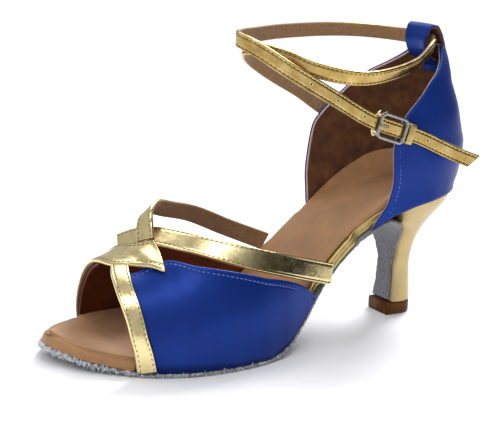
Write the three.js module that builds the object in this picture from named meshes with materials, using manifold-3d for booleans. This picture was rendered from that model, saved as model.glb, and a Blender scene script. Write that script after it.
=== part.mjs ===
// An open-toe ballroom sandal for Latin dancing, left shoe, standing on its sole and heel.
// Millimetres, +Z up, toe towards -X, outer (lateral) side towards -Y. The origin is under the
// middle of the shoe's box, on the floor.
//
// Places along the shoe are shares of its length, 1 at the toe; the heel cup starts a little past 0.
// Places across are shares of the ball's width: negative on the lateral side.

import * as THREE from 'three';
import { mergeVertices } from 'three/addons/utils/BufferGeometryUtils.js';
import Module from 'manifold-3d';

const wasm = await Module();
wasm.setup();

// Driving dimensions
const SHOE_LENGTH = 216;
const BALL_WIDTH = 82;
const HEEL_HEIGHT = 60;
const VAMP_HEIGHT = 60;
const CUP_HEIGHT = 69;
const SEAT_SETBACK = 8.6;
const OUTSOLE_THICK = 1.6;
const OUTSOLE_WAIST_INSET = 0.6;
const BOARD_THICK = 4.6;
const SOCK_THICK = 1.3;
const SOCK_RIM = 1.8;
const SOCK_CUP_RISE = 9;
const SOCK_TOE_ROLL = 1.5;
const FEATHER = 0.4;
const PANEL_WALL = 1.4;
const COUNTER_WALL = 1.6;
const VAMP_STRAP_WIDTH = 10;
const ARCH_STRAP_WIDTH = 9;
const SIDE_STRAP_WIDTH = 8;
const VAMP_STRAP_THICK = 1.6;
const ANKLE_STRAP_WIDTH = 7;
const ANKLE_STRAP_THICK = 1.8;
const LOOP_WIDTH = 19;
const LOOP_THICK = 1.5;
const ANCHOR_THICK = 1;
const ANCHOR_LENGTH = 25;
const BUCKLE_LENGTH = 16;
const BUCKLE_BAR = 1.7;
const BUCKLE_THICK = 1.3;
const BUCKLE_CORNER = 3;
const PRONG_RADIUS = 0.6;
const PRONG_REACH = 3.6;
const KEEPER_LENGTH = 3.5;
const STRAP_END_SLANT = 4;
const TIP_THICK = 6;

// Clearance between two pieces that meet
const CLEAR = 0.3;

// Underside of the sole along its middle, from the heel to the toe
const PROFILE = [
  { at: 0, rise: 1.045 },
  { at: 0.046, rise: 1.03 },
  { at: 0.093, rise: 1.002 },
  { at: 0.139, rise: 0.977 },
  { at: 0.185, rise: 0.948 },
  { at: 0.231, rise: 0.907 },
  { at: 0.278, rise: 0.838 },
  { at: 0.324, rise: 0.738 },
  { at: 0.37, rise: 0.608 },
  { at: 0.417, rise: 0.455 },
  { at: 0.463, rise: 0.292 },
  { at: 0.505, rise: 0.15 },
  { at: 0.542, rise: 0.057 },
  { at: 0.574, rise: 0.013 },
  { at: 0.611, rise: 0 },
  { at: 0.833, rise: 0 },
  { at: 0.88, rise: 0.01 },
  { at: 0.926, rise: 0.033 },
  { at: 0.963, rise: 0.057 },
  { at: 1, rise: 0.09 },
];

// Outline of the sole seen from above; the first row is at the back of the seat
const OUTLINE = [
  { at: 0, lateral: 0, medial: 0 },
  { at: 0.058, lateral: -0.159, medial: 0.159 },
  { at: 0.083, lateral: -0.238, medial: 0.234 },
  { at: 0.125, lateral: -0.296, medial: 0.293 },
  { at: 0.171, lateral: -0.321, medial: 0.317 },
  { at: 0.222, lateral: -0.321, medial: 0.317 },
  { at: 0.278, lateral: -0.307, medial: 0.309 },
  { at: 0.347, lateral: -0.29, medial: 0.296 },
  { at: 0.417, lateral: -0.311, medial: 0.3 },
  { at: 0.486, lateral: -0.384, medial: 0.317 },
  { at: 0.556, lateral: -0.467, medial: 0.349 },
  { at: 0.625, lateral: -0.522, medial: 0.398 },
  { at: 0.694, lateral: -0.54, medial: 0.444 },
  { at: 0.764, lateral: -0.524, medial: 0.463 },
  { at: 0.833, lateral: -0.463, medial: 0.449 },
  { at: 0.88, lateral: -0.384, medial: 0.407 },
  { at: 0.926, lateral: -0.29, medial: 0.327 },
  { at: 0.963, lateral: -0.189, medial: 0.241 },
  { at: 0.986, lateral: -0.073, medial: 0.165 },
  { at: 1, lateral: 0.055, medial: 0.055 },
];

// The suede of the sole runs on down the front of the heel: its visible face, from the tip upwards
const FLAP = [
  { at: 0.194, rise: 0.125, half: 0.078 },
  { at: 0.19, rise: 0.3, half: 0.068 },
  { at: 0.189, rise: 0.45, half: 0.072 },
  { at: 0.192, rise: 0.6, half: 0.115 },
  { at: 0.202, rise: 0.717, half: 0.183 },
  { at: 0.224, rise: 0.8, half: 0.25 },
  { at: 0.252, rise: 0.837, half: 0.272 },
  { at: 0.28, rise: 0.825, half: 0.29 },
];
const FLAP_JOIN = 0.315;

// Sections of the heel, from the tip to the seat
const HEEL = [
  { rise: 0, back: 0.1225, breast: 0.197, half: 0.099 },
  { rise: 0.15, back: 0.125, breast: 0.194, half: 0.09 },
  { rise: 0.33, back: 0.1265, breast: 0.19, half: 0.083 },
  { rise: 0.5, back: 0.1215, breast: 0.192, half: 0.1 },
  { rise: 0.65, back: 0.1115, breast: 0.204, half: 0.145 },
  { rise: 0.78, back: 0.094, breast: 0.238, half: 0.212 },
  { rise: 0.89, back: 0.069, breast: 0.284, half: 0.268 },
  { rise: 0.96, back: 0.0535, breast: 0.304, half: 0.292 },
  { rise: 1.1, back: 0.041, breast: 0.306, half: 0.306 },
];

const HEEL_TOP = 1.1;
const HEEL_WIDEST = 0.42;
const HEEL_SQUARENESS = 2.3;

// Top of the vamp's inner skin over the middle of the foot, above the sole
const RIDGE = [
  { at: 0.417, rise: 0.712 },
  { at: 0.509, rise: 0.895 },
  { at: 0.579, rise: 0.955 },
  { at: 0.648, rise: 0.922 },
  { at: 0.694, rise: 0.892 },
  { at: 0.741, rise: 0.85 },
  { at: 0.778, rise: 0.792 },
  { at: 0.796, rise: 0.75 },
  { at: 0.815, rise: 0.717 },
  { at: 0.833, rise: 0.677 },
  { at: 0.866, rise: 0.628 },
  { at: 0.889, rise: 0.584 },
  { at: 0.926, rise: 0.483 },
];
const VAMP_SQUARENESS = { lateral: 2.7, medial: 2.2 };

// Top edge of the side panels, as a share of the ridge's height over the panel's foot
const PANEL_TOP = [
  { at: 0.456, lateral: 0.02, medial: 0.02 },
  { at: 0.475, lateral: 0.15, medial: 0.18 },
  { at: 0.495, lateral: 0.294, medial: 0.33 },
  { at: 0.53, lateral: 0.46, medial: 0.51 },
  { at: 0.565, lateral: 0.557, medial: 0.61 },
  { at: 0.606, lateral: 0.623, medial: 0.68 },
  { at: 0.648, lateral: 0.69, medial: 0.75 },
  { at: 0.694, lateral: 0.758, medial: 0.81 },
  { at: 0.745, lateral: 0.837, medial: 0.87 },
  { at: 0.796, lateral: 0.95, medial: 0.92 },
  { at: 0.868, lateral: 0.97, medial: 0.94 },
];

// Strap over the lateral panel, from its cut end on the instep to the edge of the board.
// turn and lean give the way its outer face looks: degrees in plan from +X, and degrees upwards.
const LONG_STRAP = [
  { at: 0.812, side: 0.183, rise: 0.732, turn: 180, lean: 12 },
  { at: 0.796, side: 0.091, rise: 0.803, turn: 190, lean: 38 },
  { at: 0.778, side: 0, rise: 0.845, turn: 205, lean: 56 },
  { at: 0.722, side: -0.195, rise: 0.83, turn: 248, lean: 47 },
  { at: 0.625, side: -0.348, rise: 0.737, turn: 264, lean: 27 },
  { at: 0.53, side: -0.366, rise: 0.56, turn: 270, lean: 19 },
  { at: 0.419, side: -0.329, rise: 0.077, turn: 272, lean: 12 },
];

// Strap that stands up from the crossing and arches back along the medial side
const ARCH_STRAP = [
  { at: 0.789, side: -0.012, rise: 0.825, turn: 200, lean: 30 },
  { at: 0.784, side: 0.024, rise: 0.92, turn: 190, lean: 40 },
  { at: 0.774, side: 0.061, rise: 0.99, turn: 160, lean: 42 },
  { at: 0.745, side: 0.134, rise: 1.007, turn: 130, lean: 42 },
  { at: 0.694, side: 0.22, rise: 0.95, turn: 112, lean: 34 },
  { at: 0.62, side: 0.293, rise: 0.867, turn: 102, lean: 30 },
  { at: 0.525, side: 0.341, rise: 0.618, turn: 94, lean: 24 },
  { at: 0.431, side: 0.316, rise: 0.165, turn: 90, lean: 14 },
];

// Straps that lie on the vamp's skin, from the sole to the crossing.
// lift is in strap thicknesses over the panels, wide in strap widths.
const SIDE_STRAP = [
  { at: 0.861, side: -0.42, rise: 0.039, lift: 0, wide: 1.05 },
  { at: 0.867, side: -0.402, rise: 0.185, lift: 0, wide: 0.98 },
  { at: 0.872, side: -0.384, rise: 0.28, lift: 0, wide: 0.92 },
  { at: 0.875, side: -0.36, rise: 0.379, lift: 0, wide: 0.9 },
  { at: 0.878, side: -0.312, rise: 0.489, lift: 0, wide: 0.9 },
  { at: 0.878, side: -0.249, rise: 0.577, lift: 0, wide: 0.9 },
  { at: 0.872, side: -0.176, rise: 0.642, lift: 0, wide: 0.95 },
  { at: 0.863, side: -0.111, rise: 0.679, lift: 0, wide: 1 },
  { at: 0.847, side: -0.024, rise: 0.697, lift: 0, wide: 1 },
];
const TOP_STRAP = [
  { at: 0.836, side: 0.439, rise: 0.044, lift: 0, wide: 1 },
  { at: 0.842, side: 0.433, rise: 0.165, lift: 0, wide: 1 },
  { at: 0.845, side: 0.421, rise: 0.281, lift: 0, wide: 1 },
  { at: 0.846, side: 0.378, rise: 0.414, lift: 0, wide: 1 },
  { at: 0.846, side: 0.293, rise: 0.53, lift: 0.1, wide: 1.1 },
  { at: 0.846, side: 0.165, rise: 0.62, lift: 0.25, wide: 1.3 },
  { at: 0.844, side: 0.06, rise: 0.68, lift: 0.4, wide: 1.5 },
  { at: 0.838, side: -0.02, rise: 0.7, lift: 0.4, wide: 1.6 },
  { at: 0.822, side: -0.076, rise: 0.72, lift: 0.4, wide: 1.6 },
  { at: 0.802, side: -0.156, rise: 0.74, lift: 0.3, wide: 1.6 },
  { at: 0.7945, side: -0.195, rise: 0.753, lift: 0.3, wide: 1.6 },
];
const TAB_SLANT = 7.4;

// Levels of the heel cup, from its foot to its top edge: its back, half width and two front edges
const CUP = [
  { rise: 0, back: 0.037, half: 0.323, lateral: 0.306, medial: 0.315 },
  { rise: 0.051, back: 0.0343, half: 0.329, lateral: 0.285, medial: 0.326 },
  { rise: 0.101, back: 0.0282, half: 0.334, lateral: 0.271, medial: 0.329 },
  { rise: 0.203, back: 0.0255, half: 0.345, lateral: 0.265, medial: 0.329 },
  { rise: 0.333, back: 0.0259, half: 0.354, lateral: 0.27, medial: 0.324 },
  { rise: 0.435, back: 0.0338, half: 0.354, lateral: 0.272, medial: 0.318 },
  { rise: 0.514, back: 0.0394, half: 0.351, lateral: 0.266, medial: 0.31 },
  { rise: 0.565, back: 0.0426, half: 0.346, lateral: 0.258, medial: 0.292 },
  { rise: 0.623, back: 0.0468, half: 0.337, lateral: 0.24, medial: 0.262 },
  { rise: 0.71, back: 0.056, half: 0.324, lateral: 0.207, medial: 0.22 },
  { rise: 0.79, back: 0.0625, half: 0.305, lateral: 0.177, medial: 0.176 },
  { rise: 0.855, back: 0.0625, half: 0.274, lateral: 0.144, medial: 0.139 },
  { rise: 0.92, back: 0.062, half: 0.226, lateral: 0.117, medial: 0.116 },
  { rise: 1, back: 0.063, half: 0.146, lateral: 0.095, medial: 0.102 },
];
const CUP_ROUND = 0.15;
const CUP_SQUARENESS = 2.2;

// Middle line of the back loop, from the top edge of the cup over and down inside its lining
const LOOP = [
  { at: 0.0755, rise: 1.013, curl: 0.019, wide: 1 },
  { at: 0.0801, rise: 1.051, curl: 0.019, wide: 1 },
  { at: 0.0917, rise: 1.101, curl: 0.014, wide: 1 },
  { at: 0.1088, rise: 1.139, curl: 0.006, wide: 1 },
  { at: 0.1245, rise: 1.134, curl: 0.003, wide: 0.95 },
  { at: 0.131, rise: 1.098, curl: 0.003, wide: 0.88 },
  { at: 0.1335, rise: 1.03, curl: 0.004, wide: 0.78 },
  { at: 0.1225, rise: 0.95, curl: 0.005, wide: 0.72 },
  { at: 0.098, rise: 0.905, curl: 0.007, wide: 0.7 },
  { at: 0.0805, rise: 0.87, curl: 0.007, wide: 0.7 },
  { at: 0.0775, rise: 0.82, curl: 0.0065, wide: 0.7 },
];

// Route of the ankle strap, heights above the seat: sewn to the medial side of the cup, round the
// front of the ankle, through the back loop, round once more and through the buckle.
// lean tips its upper edge outwards, in degrees; below 0 it tips inwards.
const ANKLE_STRAP = [
  { at: 0.231, side: 0.371, rise: 0.457, lean: 0 },
  { at: 0.273, side: 0.371, rise: 0.522, lean: 0 },
  { at: 0.315, side: 0.363, rise: 0.601, lean: 0 },
  { at: 0.352, side: 0.335, rise: 0.667, lean: 0 },
  { at: 0.449, side: 0.244, rise: 0.812, lean: 0 },
  { at: 0.523, side: 0.146, rise: 0.932, lean: 0 },
  { at: 0.558, side: 0.061, rise: 1, lean: 0 },
  { at: 0.569, side: 0, rise: 1.029, lean: 0 },
  { at: 0.562, side: -0.061, rise: 1.029, lean: 0 },
  { at: 0.544, side: -0.116, rise: 1.007, lean: 0 },
  { at: 0.505, side: -0.171, rise: 0.967, lean: 0 },
  { at: 0.472, side: -0.226, rise: 0.92, lean: 0 },
  { at: 0.412, side: -0.28, rise: 0.87, lean: 8 },
  { at: 0.352, side: -0.305, rise: 0.848, lean: 20 },
  { at: 0.278, side: -0.293, rise: 0.87, lean: 28 },
  { at: 0.204, side: -0.244, rise: 0.92, lean: 30 },
  { at: 0.148, side: -0.165, rise: 0.993, lean: 18 },
  { at: 0.113, side: -0.085, rise: 1.029, lean: 4 },
  { at: 0.105, side: 0, rise: 1.038, lean: 0 },
  { at: 0.111, side: 0.098, rise: 1.048, lean: -8 },
  { at: 0.144, side: 0.183, rise: 1.062, lean: -22 },
  { at: 0.208, side: 0.256, rise: 1.08, lean: -26 },
  { at: 0.287, side: 0.305, rise: 1.087, lean: -18 },
  { at: 0.421, side: 0.268, rise: 1.084, lean: -8 },
  { at: 0.516, side: 0.152, rise: 1.081, lean: 0 },
  { at: 0.567, side: 0.073, rise: 1.08, lean: 0 },
  { at: 0.588, side: -0.012, rise: 1.077, lean: 0 },
  { at: 0.583, side: -0.098, rise: 1.054, lean: 0 },
  { at: 0.567, side: -0.159, rise: 1.014, lean: 0 },
  { at: 0.523, side: -0.256, rise: 0.909, lean: 0 },
  { at: 0.486, side: -0.293, rise: 0.836, lean: 0 },
  { at: 0.4301, side: -0.322, rise: 0.735, lean: 0 },
  { at: 0.3503, side: -0.356, rise: 0.593, lean: 0 },
  { at: 0.2863, side: -0.369, rise: 0.521, lean: 0 },
  { at: 0.2253, side: -0.38, rise: 0.46, lean: 0 },
  { at: 0.1703, side: -0.404, rise: 0.383, lean: 0 },
  { at: 0.1283, side: -0.429, rise: 0.325, lean: 0 },
  { at: 0.0973, side: -0.448, rise: 0.288, lean: 0 },
];
const BUCKLE_AT = 0.299;

const lerp = (a, b, share) => a + (b - a) * share;
const clamp = (value, low, high) => Math.min(high, Math.max(low, value));
const rad = degrees => degrees * Math.PI / 180;

// Smooth step from 0 before low to 1 past high
function ease(value, low, high) {
  const share = clamp((value - low) / (high - low), 0, 1);
  return share * share * (3 - 2 * share);
}

// Monotone cubic through a table's rows: the column's value where the key has the given value
function lookup(rows, key, column, value) {
  const last = rows.length - 1;
  let row = 0;
  while (row < last - 1 && value > rows[row + 1][key]) row += 1;
  const secant = k => (rows[k + 1][column] - rows[k][column]) / (rows[k + 1][key] - rows[k][key]);
  const slope = k => {
    if (k === 0) return secant(0);
    if (k === last) return secant(last - 1);
    const before = secant(k - 1);
    const after = secant(k);
    return before * after <= 0 ? 0 : 2 * before * after / (before + after);
  };
  const span = rows[row + 1][key] - rows[row][key];
  const t = clamp((value - rows[row][key]) / span, 0, 1);
  const rise = (3 - 2 * t) * t * t;
  return rows[row][column] * (1 - rise) + rows[row + 1][column] * rise
    + span * (t * (1 - t) * (1 - t) * slope(row) - t * t * (1 - t) * slope(row + 1));
}

// Solids

// Volume inside a list of points and triangles; negative when the faces point inwards
function signedVolume(points, triangles) {
  let sum = 0;
  for (let k = 0; k < triangles.length; k += 3) {
    const [a, b, c] = [0, 1, 2].map(n => points[triangles[k + n]]);
    sum += a[0] * (b[1] * c[2] - b[2] * c[1]) + a[1] * (b[2] * c[0] - b[0] * c[2])
      + a[2] * (b[0] * c[1] - b[1] * c[0]);
  }
  return sum / 6;
}

// A manifold solid of a closed geometry, with its faces turned outwards
function toSolid(geometry) {
  const bare = geometry.clone();
  bare.deleteAttribute('normal');
  bare.deleteAttribute('uv');
  const merged = mergeVertices(bare, 1e-4);
  const position = merged.getAttribute('position');
  const index = merged.getIndex().array;
  const points = [];
  for (let k = 0; k < position.count; k += 1) {
    points.push([position.getX(k), position.getY(k), position.getZ(k)]);
  }
  const triangles = [];
  for (let k = 0; k < index.length; k += 3) {
    const [a, b, c] = [index[k], index[k + 1], index[k + 2]];
    if (a !== b && b !== c && c !== a) triangles.push(a, b, c);
  }
  if (signedVolume(points, triangles) < 0) triangles.reverse();
  return new wasm.Manifold(new wasm.Mesh({
    numProp: 3,
    vertProperties: new Float32Array(points.flat()),
    triVerts: new Uint32Array(triangles),
  }));
}

function geometryOf(points, triangles) {
  const geometry = new THREE.BufferGeometry();
  geometry.setAttribute('position', new THREE.Float32BufferAttribute(points.flat(), 3));
  geometry.setIndex(triangles);
  return geometry;
}

// A closed solid between two faces, outer(u, v) and inner(u, v), with u and v from 0 to 1.
// Where a face closes to a point or an edge, its empty triangles drop out.
function shell(outer, inner, stepsU, stepsV) {
  const points = [];
  for (const face of [outer, inner]) {
    for (let i = 0; i <= stepsU; i += 1) {
      for (let j = 0; j <= stepsV; j += 1) points.push(face(i / stepsU, j / stepsV));
    }
  }
  const size = (stepsU + 1) * (stepsV + 1);
  const at = (face, i, j) => face * size + i * (stepsV + 1) + j;
  const triangles = [];
  const quad = (a, b, c, d) => triangles.push(a, b, c, a, c, d);
  for (let i = 0; i < stepsU; i += 1) {
    for (let j = 0; j < stepsV; j += 1) {
      quad(at(0, i, j), at(0, i + 1, j), at(0, i + 1, j + 1), at(0, i, j + 1));
      quad(at(1, i, j), at(1, i, j + 1), at(1, i + 1, j + 1), at(1, i + 1, j));
    }
    quad(at(0, i, 0), at(1, i, 0), at(1, i + 1, 0), at(0, i + 1, 0));
    quad(at(0, i, stepsV), at(0, i + 1, stepsV), at(1, i + 1, stepsV), at(1, i, stepsV));
  }
  for (let j = 0; j < stepsV; j += 1) {
    quad(at(0, 0, j), at(0, 0, j + 1), at(1, 0, j + 1), at(1, 0, j));
    quad(at(0, stepsU, j), at(1, stepsU, j), at(1, stepsU, j + 1), at(0, stepsU, j + 1));
  }
  return toSolid(geometryOf(points, triangles));
}

// A closed tube through rings of points that see their own middle
function tubeGeometry(rings) {
  const size = rings[0].length;
  const points = rings.flat();
  const triangles = [];
  for (let k = 0; k < rings.length - 1; k += 1) {
    for (let n = 0; n < size; n += 1) {
      const a = k * size + n;
      const b = k * size + (n + 1) % size;
      triangles.push(a, b, b + size, a, b + size, a + size);
    }
  }
  for (const [k, turned] of [[0, false], [rings.length - 1, true]]) {
    const middle = [0, 1, 2].map(axis => rings[k].reduce((sum, p) => sum + p[axis], 0) / size);
    const centre = points.push(middle) - 1;
    for (let n = 0; n < size; n += 1) {
      const a = k * size + n;
      const b = k * size + (n + 1) % size;
      triangles.push(...(turned ? [a, b, centre] : [b, a, centre]));
    }
  }
  return geometryOf(points, triangles);
}

const loft = rings => toSolid(tubeGeometry(rings));

// Sole

const HEEL_END = SEAT_SETBACK / SHOE_LENGTH;
const alongOf = at => Math.acos(1 - 2 * clamp((at - HEEL_END) / (1 - HEEL_END), 0, 1)) / Math.PI;
const atOf = along => HEEL_END + (1 - HEEL_END) * (1 - Math.cos(Math.PI * along)) / 2;
const ROUND_OUTLINE = OUTLINE.map(row => ({
  along: alongOf(row.at),
  lateral: row.lateral,
  medial: row.medial,
}));

// Underside of the sole and its normal, in the plane of the shoe's length
function soleFrame(at) {
  const low = Math.max(0, at - 0.004);
  const high = Math.min(1, at + 0.004);
  const rise = share => HEEL_HEIGHT * lookup(PROFILE, 'at', 'rise', share);
  const slope = (rise(high) - rise(low)) / ((high - low) * SHOE_LENGTH);
  const length = Math.hypot(1, slope);
  return { x: -at * SHOE_LENGTH, z: rise(at), nx: slope / length, nz: 1 / length };
}

// A point at a height over the underside, measured square to it
function solePoint(at, y, height) {
  const frame = soleFrame(at);
  return [frame.x + height * frame.nx, y, frame.z + height * frame.nz];
}

// Height of that surface over the floor at one place along the shoe
function soleRise(at, height) {
  const frame = soleFrame(at);
  return frame.z + height / frame.nz;
}

// Outline of the sole; along runs from 0 at the heel to 1 at the toe, evenly round both ends
function outline(along, side) {
  if (along < 0) return outline(-along, -side);
  if (along > 1) return outline(2 - along, -side);
  const share = lookup(ROUND_OUTLINE, 'along', side < 0 ? 'lateral' : 'medial', along);
  return { x: -atOf(along) * SHOE_LENGTH, y: share * BALL_WIDTH };
}

// The outline moved in by an inset that may change along the shoe
function edge(along, side, inset) {
  const here = outline(along, side);
  const before = outline(along - 0.01, side);
  const after = outline(along + 0.01, side);
  const length = Math.hypot(after.x - before.x, after.y - before.y);
  const distance = inset(atOf(along)) * side / length;
  return {
    x: here.x - distance * (after.y - before.y),
    y: here.y + distance * (after.x - before.x),
  };
}

// Side of the shoe at one place along it, moved in by a distance
function edgeSide(at, side, inset) {
  const along = alongOf(at);
  const before = outline(along - 0.01, side);
  const after = outline(along + 0.01, side);
  const run = Math.max(1e-6, Math.abs(after.x - before.x));
  return outline(along, side).y - side * inset * Math.hypot(1, (after.y - before.y) / run);
}

// A layer of the sole between two heights over the underside
function slab({ from = 0, to = 1, inset, bottom, top, steps, across }) {
  const face = height => (u, v) => {
    const lateral = edge(lerp(from, to, u), -1, inset);
    const medial = edge(lerp(from, to, u), 1, inset);
    const share = (1 - Math.cos(Math.PI * v)) / 2;
    const at = -lerp(lateral.x, medial.x, share) / SHOE_LENGTH;
    return solePoint(at, lerp(lateral.y, medial.y, share), height(at, share));
  };
  return shell(face(top), face(bottom), steps, across);
}

// Rungs across the suede sole, from the foot of the breast flap up, forwards and out to the toe
function outsoleRungs() {
  const join = soleFrame(FLAP_JOIN);
  const joinHalf = -edgeSide(FLAP_JOIN, -1, OUTSOLE_WAIST_INSET);
  const flap = new THREE.CatmullRomCurve3([
    ...FLAP.map(row => new THREE.Vector3(
      -row.at * SHOE_LENGTH, row.half * BALL_WIDTH, row.rise * HEEL_HEIGHT)),
    new THREE.Vector3(join.x, joinHalf, join.z),
  ]);
  const rungs = flap.getPoints(20).slice(0, -1).map(p => ({ x: p.x, z: p.z, lateral: -p.y, medial: p.y }));
  const steps = 36;
  for (let k = 0; k <= steps; k += 1) {
    const along = lerp(alongOf(FLAP_JOIN), 1, k / steps);
    const at = atOf(along);
    const inset = share => OUTSOLE_WAIST_INSET * (1 - ease(share, 0.45, 0.55));
    const frame = soleFrame(at);
    rungs.push({
      x: frame.x,
      z: frame.z,
      lateral: outline(along, -1).y + inset(at),
      medial: outline(along, 1).y - inset(at),
    });
  }
  return rungs;
}

// A layer swept along the rungs, from one distance behind the visible face to another
function sweepRungs(rungs, from, to, sides) {
  const face = distance => (u, v) => {
    const k = Math.round(u * (rungs.length - 1));
    const before = rungs[Math.max(0, k - 1)];
    const after = rungs[Math.min(rungs.length - 1, k + 1)];
    const length = Math.hypot(after.x - before.x, after.z - before.z);
    const nx = (after.z - before.z) / length;
    const nz = (before.x - after.x) / length;
    const [lateral, medial] = sides(rungs[k]);
    return [rungs[k].x + distance * nx, lerp(lateral, medial, v), rungs[k].z + distance * nz];
  };
  return shell(face(to), face(from), rungs.length - 1, 2);
}

function outsole() {
  return sweepRungs(outsoleRungs(), 0, OUTSOLE_THICK, rung => [rung.lateral, rung.medial]);
}

const BOARD_LOW = OUTSOLE_THICK + CLEAR;
const BOARD_HIGH = BOARD_LOW + BOARD_THICK;
const CUP_FRONT = 0.332;
const PANEL_FRONT = { lateral: 0.868, medial: 0.86 };
const PANEL_BACK = 0.456;
const CUP_INSET = COUNTER_WALL + 2 * CLEAR;
const VAMP_INSET = FEATHER + PANEL_WALL + 2 * CLEAR;

// The board lies inside the cup and the vamp, and shows its whole side in the waist between them
function boardInset(at) {
  const underCup = CUP_INSET * (1 - ease(at, CUP_FRONT, CUP_FRONT + 0.014));
  return underCup + VAMP_INSET * ease(at, PANEL_BACK - 0.04, PANEL_BACK - 0.025);
}

function insoleBoard() {
  return slab({
    inset: boardInset,
    bottom: () => BOARD_LOW,
    top: () => BOARD_HIGH,
    steps: 60,
    across: 2,
  });
}

// The sock leaves a rim of the board bare in the waist, and caps it at the open toe
function insoleSock() {
  const toe = at => ease(at, 0.877, 0.89);
  const waist = at => ease(at, CUP_FRONT - 0.01, CUP_FRONT + 0.02)
    * (1 - ease(at, PANEL_BACK - 0.06, PANEL_BACK - 0.03));
  const cupped = at => 1 - ease(at, 0.12, CUP_FRONT);
  const sock = slab({
    inset: at => lerp(boardInset(at) + SOCK_RIM * waist(at) + CLEAR * cupped(at), FEATHER, toe(at)),
    bottom: () => BOARD_LOW,
    top: (at, share) => BOARD_HIGH + CLEAR + SOCK_THICK
      + SOCK_CUP_RISE * cupped(at) * Math.abs(2 * share - 1) ** 4
      - SOCK_TOE_ROLL * Math.max(toe(at) * Math.abs(2 * share - 1) ** 24, ease(at, 0.985, 1)),
    steps: 52,
    across: 8,
  });
  return sock.subtract(slab({
    inset: at => boardInset(at) - CLEAR,
    bottom: () => -BOARD_THICK,
    top: () => BOARD_HIGH + CLEAR,
    steps: 52,
    across: 2,
  }));
}

// Heel

function heelRing(share, height, trim) {
  const back = lookup(HEEL, 'rise', 'back', share) * SHOE_LENGTH + trim;
  const breast = lookup(HEEL, 'rise', 'breast', share) * SHOE_LENGTH;
  const half = lookup(HEEL, 'rise', 'half', share) * BALL_WIDTH - trim;
  const widest = lerp(breast, back, HEEL_WIDEST);
  const round = value => Math.sign(value) * Math.abs(value) ** (2 / HEEL_SQUARENESS);
  const ring = [[-breast, -half * 0.95, height]];
  for (let k = -6; k <= 6; k += 1) {
    const angle = rad(15 * k);
    ring.push([-lerp(widest, back, round(Math.cos(angle))), half * round(Math.sin(angle)), height]);
  }
  ring.push([-breast, half * 0.95, height]);
  return ring;
}

// A flared heel, cut to the underside of the board and to the back of the suede flap
function heelBlock() {
  const foot = TIP_THICK + CLEAR;
  const rings = [];
  for (let k = 0; k <= 16; k += 1) {
    const share = lerp(0, HEEL_TOP, k / 16);
    rings.push(heelRing(share, lerp(foot, HEEL_HEIGHT, share), 0));
  }
  const aboveSeat = slab({
    to: 0.5,
    inset: () => -SEAT_SETBACK,
    bottom: () => OUTSOLE_THICK,
    top: () => HEEL_HEIGHT / 2,
    steps: 30,
    across: 2,
  });
  const rungs = outsoleRungs().slice(0, 30);
  const low = { ...rungs[0], z: 0 };
  const flapSide = sweepRungs([low, ...rungs], -4, OUTSOLE_THICK + CLEAR, () => [-BALL_WIDTH, BALL_WIDTH]);
  return loft(rings).subtract(aboveSeat).subtract(flapSide);
}

function heelTip() {
  const rings = [[0, 0.5], [0.5, 0], [TIP_THICK, 0]].map(([z, trim]) => heelRing(0, z, trim));
  return loft(rings);
}

// Vamp

// Half section of the vamp's inner skin at one place along the shoe
function vampSection(at, side) {
  const foot = soleRise(at, BOARD_LOW);
  const ridge = soleFrame(at).z + VAMP_HEIGHT * lookup(RIDGE, 'at', 'rise', at);
  return {
    foot,
    height: ridge - foot,
    half: Math.abs(edgeSide(at, side, FEATHER + PANEL_WALL)),
    squareness: side < 0 ? VAMP_SQUARENESS.lateral : VAMP_SQUARENESS.medial,
  };
}

// The skin's point at an angle up its round, moved out square to the skin
function skinPoint(at, side, angle, offset) {
  const section = vampSection(at, side);
  const power = 2 / section.squareness;
  const across = Math.max(0, Math.cos(angle)) ** power;
  const up = Math.max(0, Math.sin(angle)) ** power;
  const ny = across ** (section.squareness - 1) / section.half;
  const nz = up ** (section.squareness - 1) / section.height;
  const length = Math.hypot(ny, nz);
  return new THREE.Vector3(
    -at * SHOE_LENGTH,
    side * (section.half * across + offset * ny / length),
    section.foot + section.height * up + offset * nz / length,
  );
}

// The skin's point in the direction of a free point, seen from the middle of the foot
function ontoSkin(point, offset) {
  const at = -point.x / SHOE_LENGTH;
  const side = point.y < 0 ? -1 : 1;
  const section = vampSection(at, side);
  const across = Math.abs(point.y) / section.half;
  const up = Math.max(0, point.z - section.foot) / section.height;
  const power = section.squareness / 2;
  const angle = Math.atan2(up ** power, across ** power);
  return skinPoint(at, side, angle, offset);
}

function vampPanel(side) {
  const column = side < 0 ? 'lateral' : 'medial';
  const face = offset => (u, v) => {
    const at = lerp(PANEL_FRONT[column], PANEL_BACK, u);
    const top = Math.asin(lookup(PANEL_TOP, 'at', column, at) ** (VAMP_SQUARENESS[column] / 2));
    return skinPoint(at, side, top * v, offset).toArray();
  };
  return shell(face(PANEL_WALL), face(0), 24, 9);
}

// Straps

function pathOf(rows, height) {
  return new THREE.CatmullRomCurve3(rows.map(height), false, 'centripetal');
}

const overSole = row => new THREE.Vector3(
  -row.at * SHOE_LENGTH,
  row.side * BALL_WIDTH,
  soleFrame(row.at).z + row.rise * VAMP_HEIGHT,
);
const overSeat = row => new THREE.Vector3(
  -row.at * SHOE_LENGTH,
  (row.side ?? 0) * BALL_WIDTH,
  HEEL_HEIGHT + row.rise * CUP_HEIGHT,
);

// A column's value between the rows that a path runs through
function along(rows, column, t) {
  const place = t * (rows.length - 1);
  const row = Math.min(rows.length - 2, Math.floor(place));
  return lerp(rows[row][column], rows[row + 1][column], place - row);
}

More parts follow.
